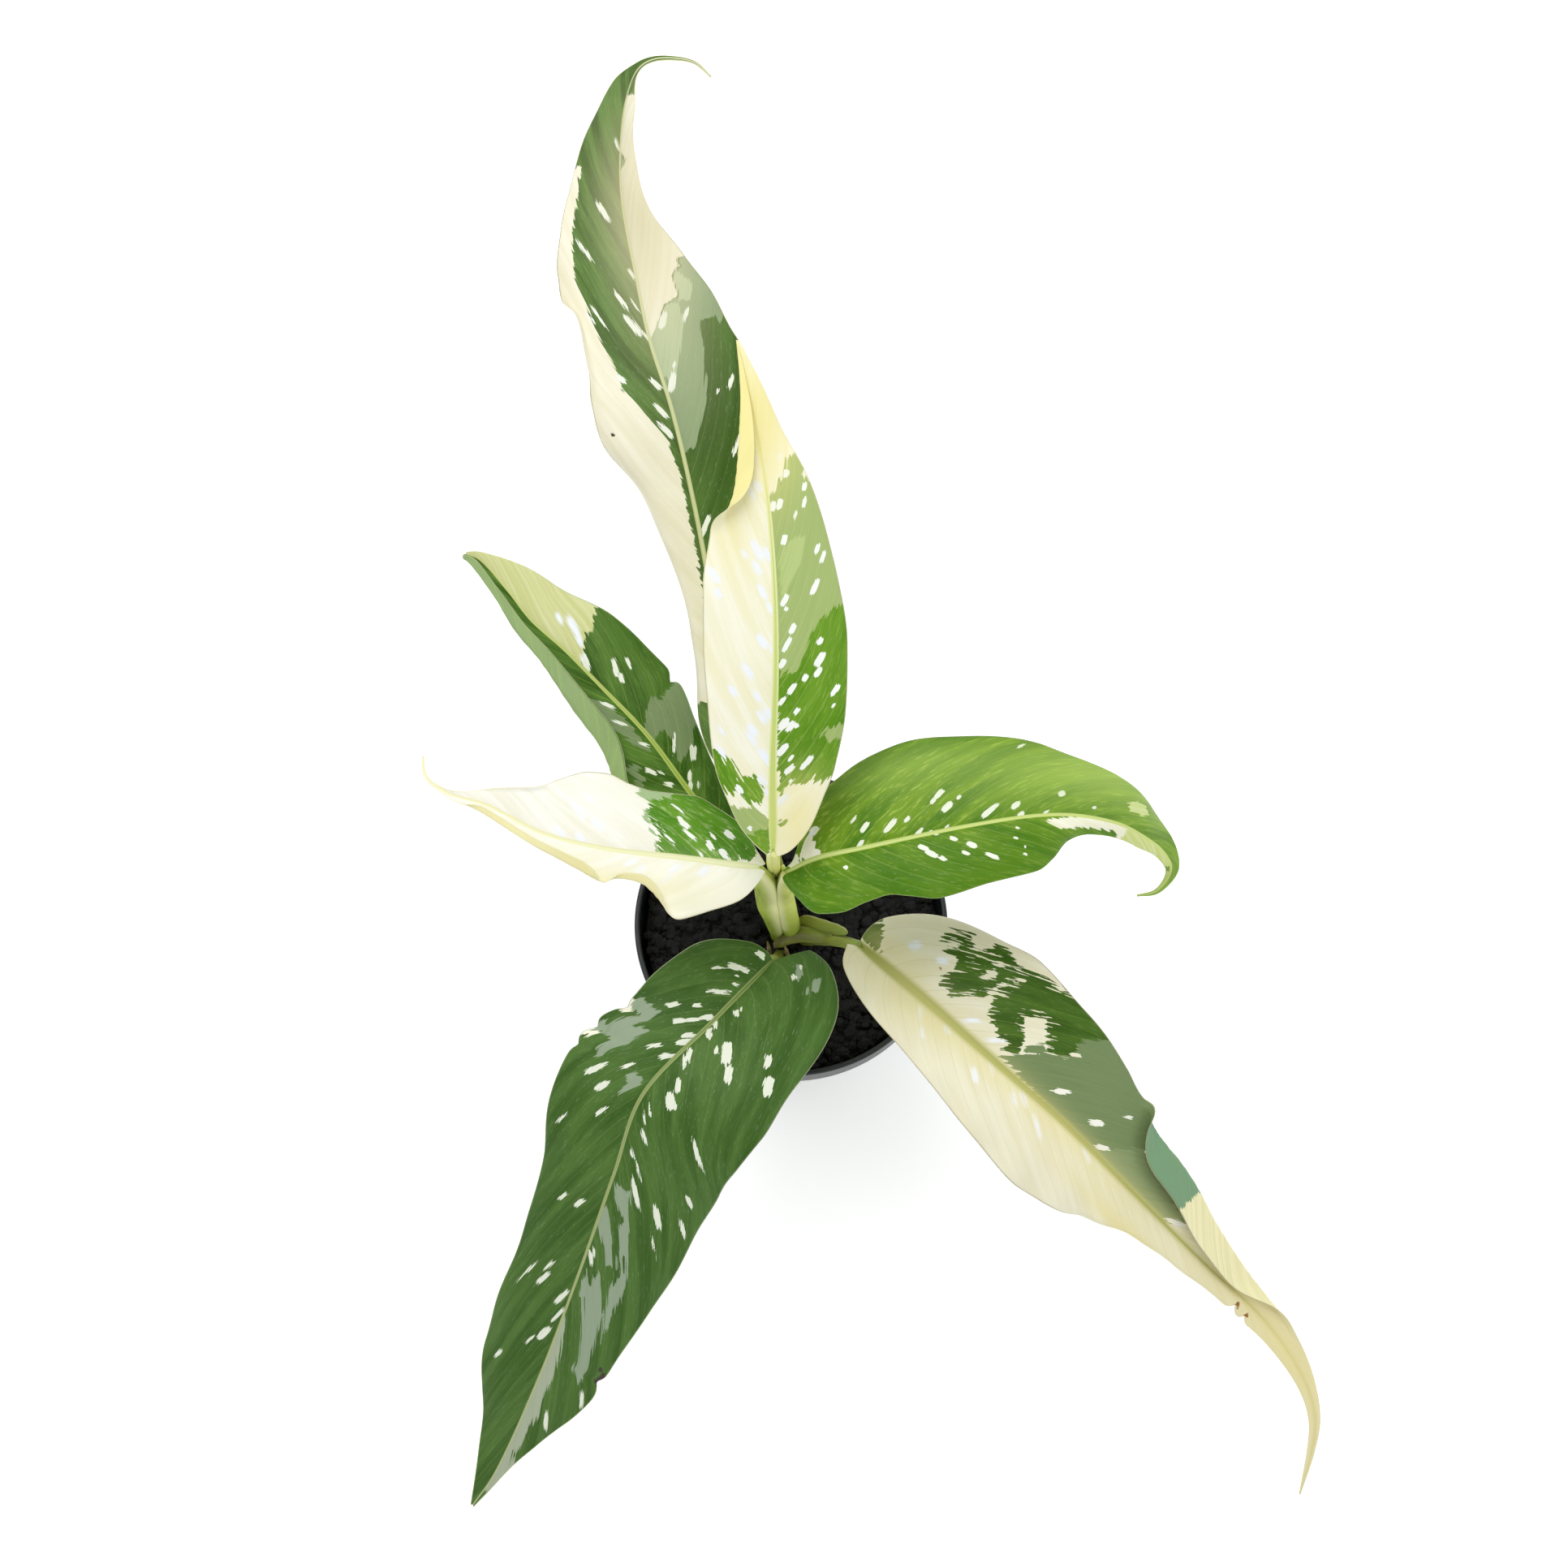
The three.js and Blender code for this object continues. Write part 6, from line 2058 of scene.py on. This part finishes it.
# In the folds below, dark is painted shade in a groove, and pale is partly a painted highlight on a ridge
STALKS = (
    StalkPart("petiole_back", "olive_stalk", OLIVE_STALK, Stalk(
        path=((0.2, 3.6, 101), (-4, 9, 130), (-9, 18, 160), (-15, 28, 184), (-18, 32, 192)),
        section=ROUND_STALK,
    )),
    StalkPart("petiole_newest", "stalk", NEWEST_STALK, Stalk(
        path=((-2.5, -0.6, 101), (-4.6, 0.4, 135), (-5.8, -1, 170), (-6.5, -4.6, 195),
            (-6.5, -6.4, 215.6)),
        section=((0, 2, 2), (0.4, 2.3, 2.3), (1, 2.4, 2.2)),
        folds=(Fold((270, 262), (0.6, 1.1), -0.5, 18, dark=0.1),),
    )),
    StalkPart("petiole_back_left", "olive_stalk", OLIVE_STALK, Stalk(
        path=((-5.6, 3.4, 101), (-11, 7, 130), (-18, 10, 152), (-24, 12.8, 169.6)),
        section=ROUND_STALK,
    )),
    StalkPart("petiole_left", "stalk", LEFT_STALK, Stalk(
        path=((-5.2, -3.9, 100), (-6.9, -5, 125), (-8.6, -6, 150), (-9.6, -7, 178), (-12.2, -7.6, 199)),
        section=LEFT_SHEATH,
        folds=(
            Fold((322, 300), (0.1, 1.2), 0.5, 32, pale=0.9),
            Fold((356, 350), (-0.2, 1.2), -0.15, 10, dark=0.35),
        ),
    ), lobes=(
        lobe(((-9.2, -5.4, 150), (-8.4, -5.2, 165), (-7.4, -4.9, 177), (-6.4, -4.6, 187))),
    )),
    StalkPart("petiole_right", "stalk", RIGHT_STALK, Stalk(
        path=((0.4, -3.9, 100), (-0.6, -5, 125), (-1.7, -5.8, 150), (-2.6, -6.8, 178), (-1.4, -9, 198.6)),
        section=RIGHT_SHEATH,
        folds=(
            Fold((236, 222), (0.2, 1.2), 0.6, 24, pale=0.85),
            Fold((192, 188), (-0.2, 1.2), -0.15, 10, dark=0.35),
        ),
    ), lobes=(
        lobe(((-4.0, -4.9, 150), (-3.7, -4.4, 165), (-3.1, -3.9, 178), (-2.8, -3.2, 188))),
    )),
    StalkPart("petiole_front_right", "olive_stalk", OLIVE_STALK, Stalk(
        path=((4.4, -5, 97), (12, -9.8, 115), (19.2, -16.4, 136.5), (25.5, -23.7, 154)),
        section=((0, 1.9, 1.9), (0.3, 2.5, 2.2), (0.75, 2.7, 2.4), (1, 2.3, 2.2)),
        folds=(Fold((90, 90), (0.1, 0.85), -1.2, 30, dark=0.4),),
    ), lobes=(
        lobe(
            ((2.6, -1.6, 104), (4.6, -1.6, 112), (10.8, -6, 122), (16.7, -10.8, 132), (20.7, -14.6, 141)),
            folds=(Fold((80, 80), (0.05, 1.1), 0.3, 22, pale=0.6),),
        ),
        lobe(
            ((-6, -8.2, 102), (-3.4, -7.4, 106), (1.6, -6.6, 110), (8.6, -8.8, 117), (16, -12.4, 125)),
            FRONT_LOBE,
            folds=(
                Fold((85, 75), (0.05, 1.1), 0.3, 24, pale=0.5),
                Fold((200, 200), (0, 1), -0.2, 40, dark=0.4),
            ),
        ),
    )),
    StalkPart("petiole_front_left", "olive_stalk", OLIVE_STALK, Stalk(
        path=((-3.9, -9.6, 97), (-5.9, -16.6, 112), (-7.1, -23, 134), (-7.6, -29.6, 153.6)),
        section=((0, 1.7, 1.7), (0.3, 2.2, 2), (1, 2.3, 2.2)),
    )),
)


@dataclass(frozen=True)
class Cane:
    """The short rooted cane: a ringed stem, mostly buried, with thick roots.

    Attributes:
        headings: the way each root runs, in degrees.
        reach: how far a root runs, in millimetres.
        drop: how far it drops.
        finish: its colours.
    """

    headings: tuple[float, ...] = (25, 100, 170, 245, 310)
    reach: float = 24.0
    drop: float = 26.0
    finish: StalkFinish = StalkFinish(low=(150, 138, 96), high=(110, 118, 58), streak=(96, 88, 52))

    def stem(self) -> Shape:
        """The stem, with a ring of old leaf scar every few millimetres.

        Returns:
            The closed stem.
        """
        x, y = CANE_MIDDLE
        path = ((x, y, CANE_FOOT), (x, y, 70.0), (x, y, CANE_TOP))
        share = (0.55, 0.82, 0.9, 0.86, 0.95, 0.9, 0.99, 0.93, 1.0, 0.95, 1.0)
        section = tuple((k / 10, CANE_RADIUS * s, CANE_RADIUS * s) for k, s in enumerate(share))
        return Stalk(path=path, section=section, rows=90, sides=64).shape()

    def root(self, heading: float) -> Shape:
        """One root: a tapering rod that runs outward and bends down.

        Args:
            heading: the way it runs, in degrees.

        Returns:
            The closed rod.
        """
        cosine, sine = math.cos(math.radians(heading)), math.sin(math.radians(heading))
        x, y = CANE_MIDDLE
        start = CANE_FOOT + 10.0
        path = tuple(
            (x + run * self.reach * cosine, y + run * self.reach * sine, start - fall)
            for run, fall in ((0, 0), (0.5, 0.25 * self.drop), (1, self.drop))
        )
        return Stalk(path=path, section=((0, 1.8, 1.8), (1, 0.9, 0.9)), rows=24, sides=20).shape()

    def build(self) -> Object:
        """Makes the cane in place of its node."""
        piece = joined([self.stem(), *map(self.root, self.headings)]).to_object("cane_stem")
        return settle(piece, self.finish.material("cane_bark"), "cane")


@dataclass(frozen=True)
class Husk:
    """A dry scrap of old sheath at the foot of the cane, curled to either side of its spine.

    Attributes:
        node: the node it stands for.
        foot: where it stands on the mix, in millimetres.
        lean: how far its top leans from its foot.
        height: how tall it stands.
        facing: the direction that its hollow side faces.
        half: its width and its curl on either side, as on a blade's half.
        thickness: its thickness in millimetres.
        frayed: how deep its edges are torn, as a share of its width.
        rows: points along it.
        columns: points across either side.
    """

    node: str
    foot: tuple[float, float]
    lean: tuple[float, float]
    height: float
    facing: Point
    half: Half = Half(
        width=((0, 2.6), (0.5, 2.9), (0.85, 1.9), (1, 0.6)), inner=((0, 10), (1, 30)),
        outer=((0, 120), (1, 150)),
    )
    thickness: float = 0.35
    frayed: float = 0.2
    rows: int = 90
    columns: int = 15

    def spine(self) -> tuple[Point, ...]:
        """The line from its foot to its top, whose lean grows faster than its height.

        Returns:
            The line's points.
        """
        rows = np.array([[0, -0.6], [0.2, 0.35], [0.55, 0.75], [1, 1]])
        x, y = (self.foot[k] + self.lean[k] * rows[:, 0] for k in range(2))
        return tuple(zip(x, y, MIX_TOP + self.height * rows[:, 1]))

    def wing(self, side: float) -> Shape:
        """One side of the scrap: the spine's point plus the half's reach outward and upward.

        Args:
            side: 1 for the right side, -1 for the left.

        Returns:
            The closed strip, whose edge is torn by summed sines.
        """
        place = np.linspace(0, 1, self.rows)
        share = np.linspace(0, 1, self.columns)
        centre, forward, length = SpaceCurve(self.spine()).frames(place)
        right = unit(np.cross(forward, self.facing))
        up = np.cross(right, forward)
        out, high, rise = self.half.section(place, share)
        fray = np.abs(np.sin(23 * place) * np.sin(61 * place + 1.3) + 0.4 * np.sin(131 * place))
        width = (along_rows(self.half.width, place) * (1 - self.frayed * fray))[:, None, None]
        outward = (side * right)[:, None]
        points = centre[:, None] + width * (out[..., None] * outward + high[..., None] * up[:, None])
        turn = rise[..., None]
        normals = up[:, None] * np.cos(turn) - outward * np.sin(turn)
        if side < 0:
            points, normals, share = points[:, ::-1], normals[:, ::-1], share[::-1]
        edge = np.minimum(share, 1 - share)
        thick = 0.5 * self.thickness * np.minimum(1.0, (edge / 0.12) ** 0.5)[None]
        flow = (share[None] * HUSK_GIRTH, place[:, None] * length * CM)
        return sheet(points, normals, thick, thick, {}, flow)

    def build(self, finish: HuskFinish) -> Object:
        """Makes the scrap in place of its node."""
        piece = joined([self.wing(-1.0), self.wing(1.0)]).to_object(f"{self.node}_husk")
        return settle(piece, finish.material(f"{self.node}_paper"), self.node)


HUSKS = (
    Husk("dry_sheath_left", (-8.6, -10.6), (-0.4, 0.6), 18, (0.3, -1.0, 0.5)),
    Husk("dry_sheath_right", (-0.6, -11.8), (-1.8, 1.0), 16, (-0.3, -1.0, 0.4)),
)

BLADES = (
    ("leaf_back", LEAF_BACK, BACK_SKIN, "dark_blade"),
    ("leaf_newest", LEAF_NEWEST, NEWEST_SKIN, "cream_blade"),
    ("leaf_back_left", LEAF_BACK_LEFT, BACK_LEFT_SKIN, "dark_blade"),
    ("leaf_left", LEAF_LEFT, LEFT_SKIN, "cream_blade"),
    ("leaf_right", LEAF_RIGHT, RIGHT_SKIN, "bright_blade"),
    ("leaf_front_right", LEAF_FRONT_RIGHT, FRONT_RIGHT_SKIN, "cream_blade"),
    ("leaf_front_left", LEAF_FRONT_LEFT, FRONT_LEFT_SKIN, "dark_blade"),
)


def report(piece: Object) -> None:
    """Logs a finished piece's name and how many triangles it has."""
    piece.data.calc_loop_triangles()
    log.info("%s: %d triangles", piece.name, len(piece.data.loop_triangles))


def main() -> None:
    """Loads the frame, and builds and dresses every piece."""
    logging.basicConfig(level=logging.INFO, format="%(message)s")
    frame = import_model()
    Studio().build()
    report(Pot().build())
    mix = frame["nodes"]["potting_mix"]
    mix.material_slots[0].material = GritFinish().material("packed_grit", grained=False)
    report(mix)
    report(Grit().build())
    report(Cane().build())
    for part in STALKS:
        report(part.build())
    for name, blade, finish, slot in BLADES:
        report(blade.build(name, finish, slot))
    for husk in HUSKS:
        report(husk.build(HuskFinish()))


if __name__ == "__main__":
    main()
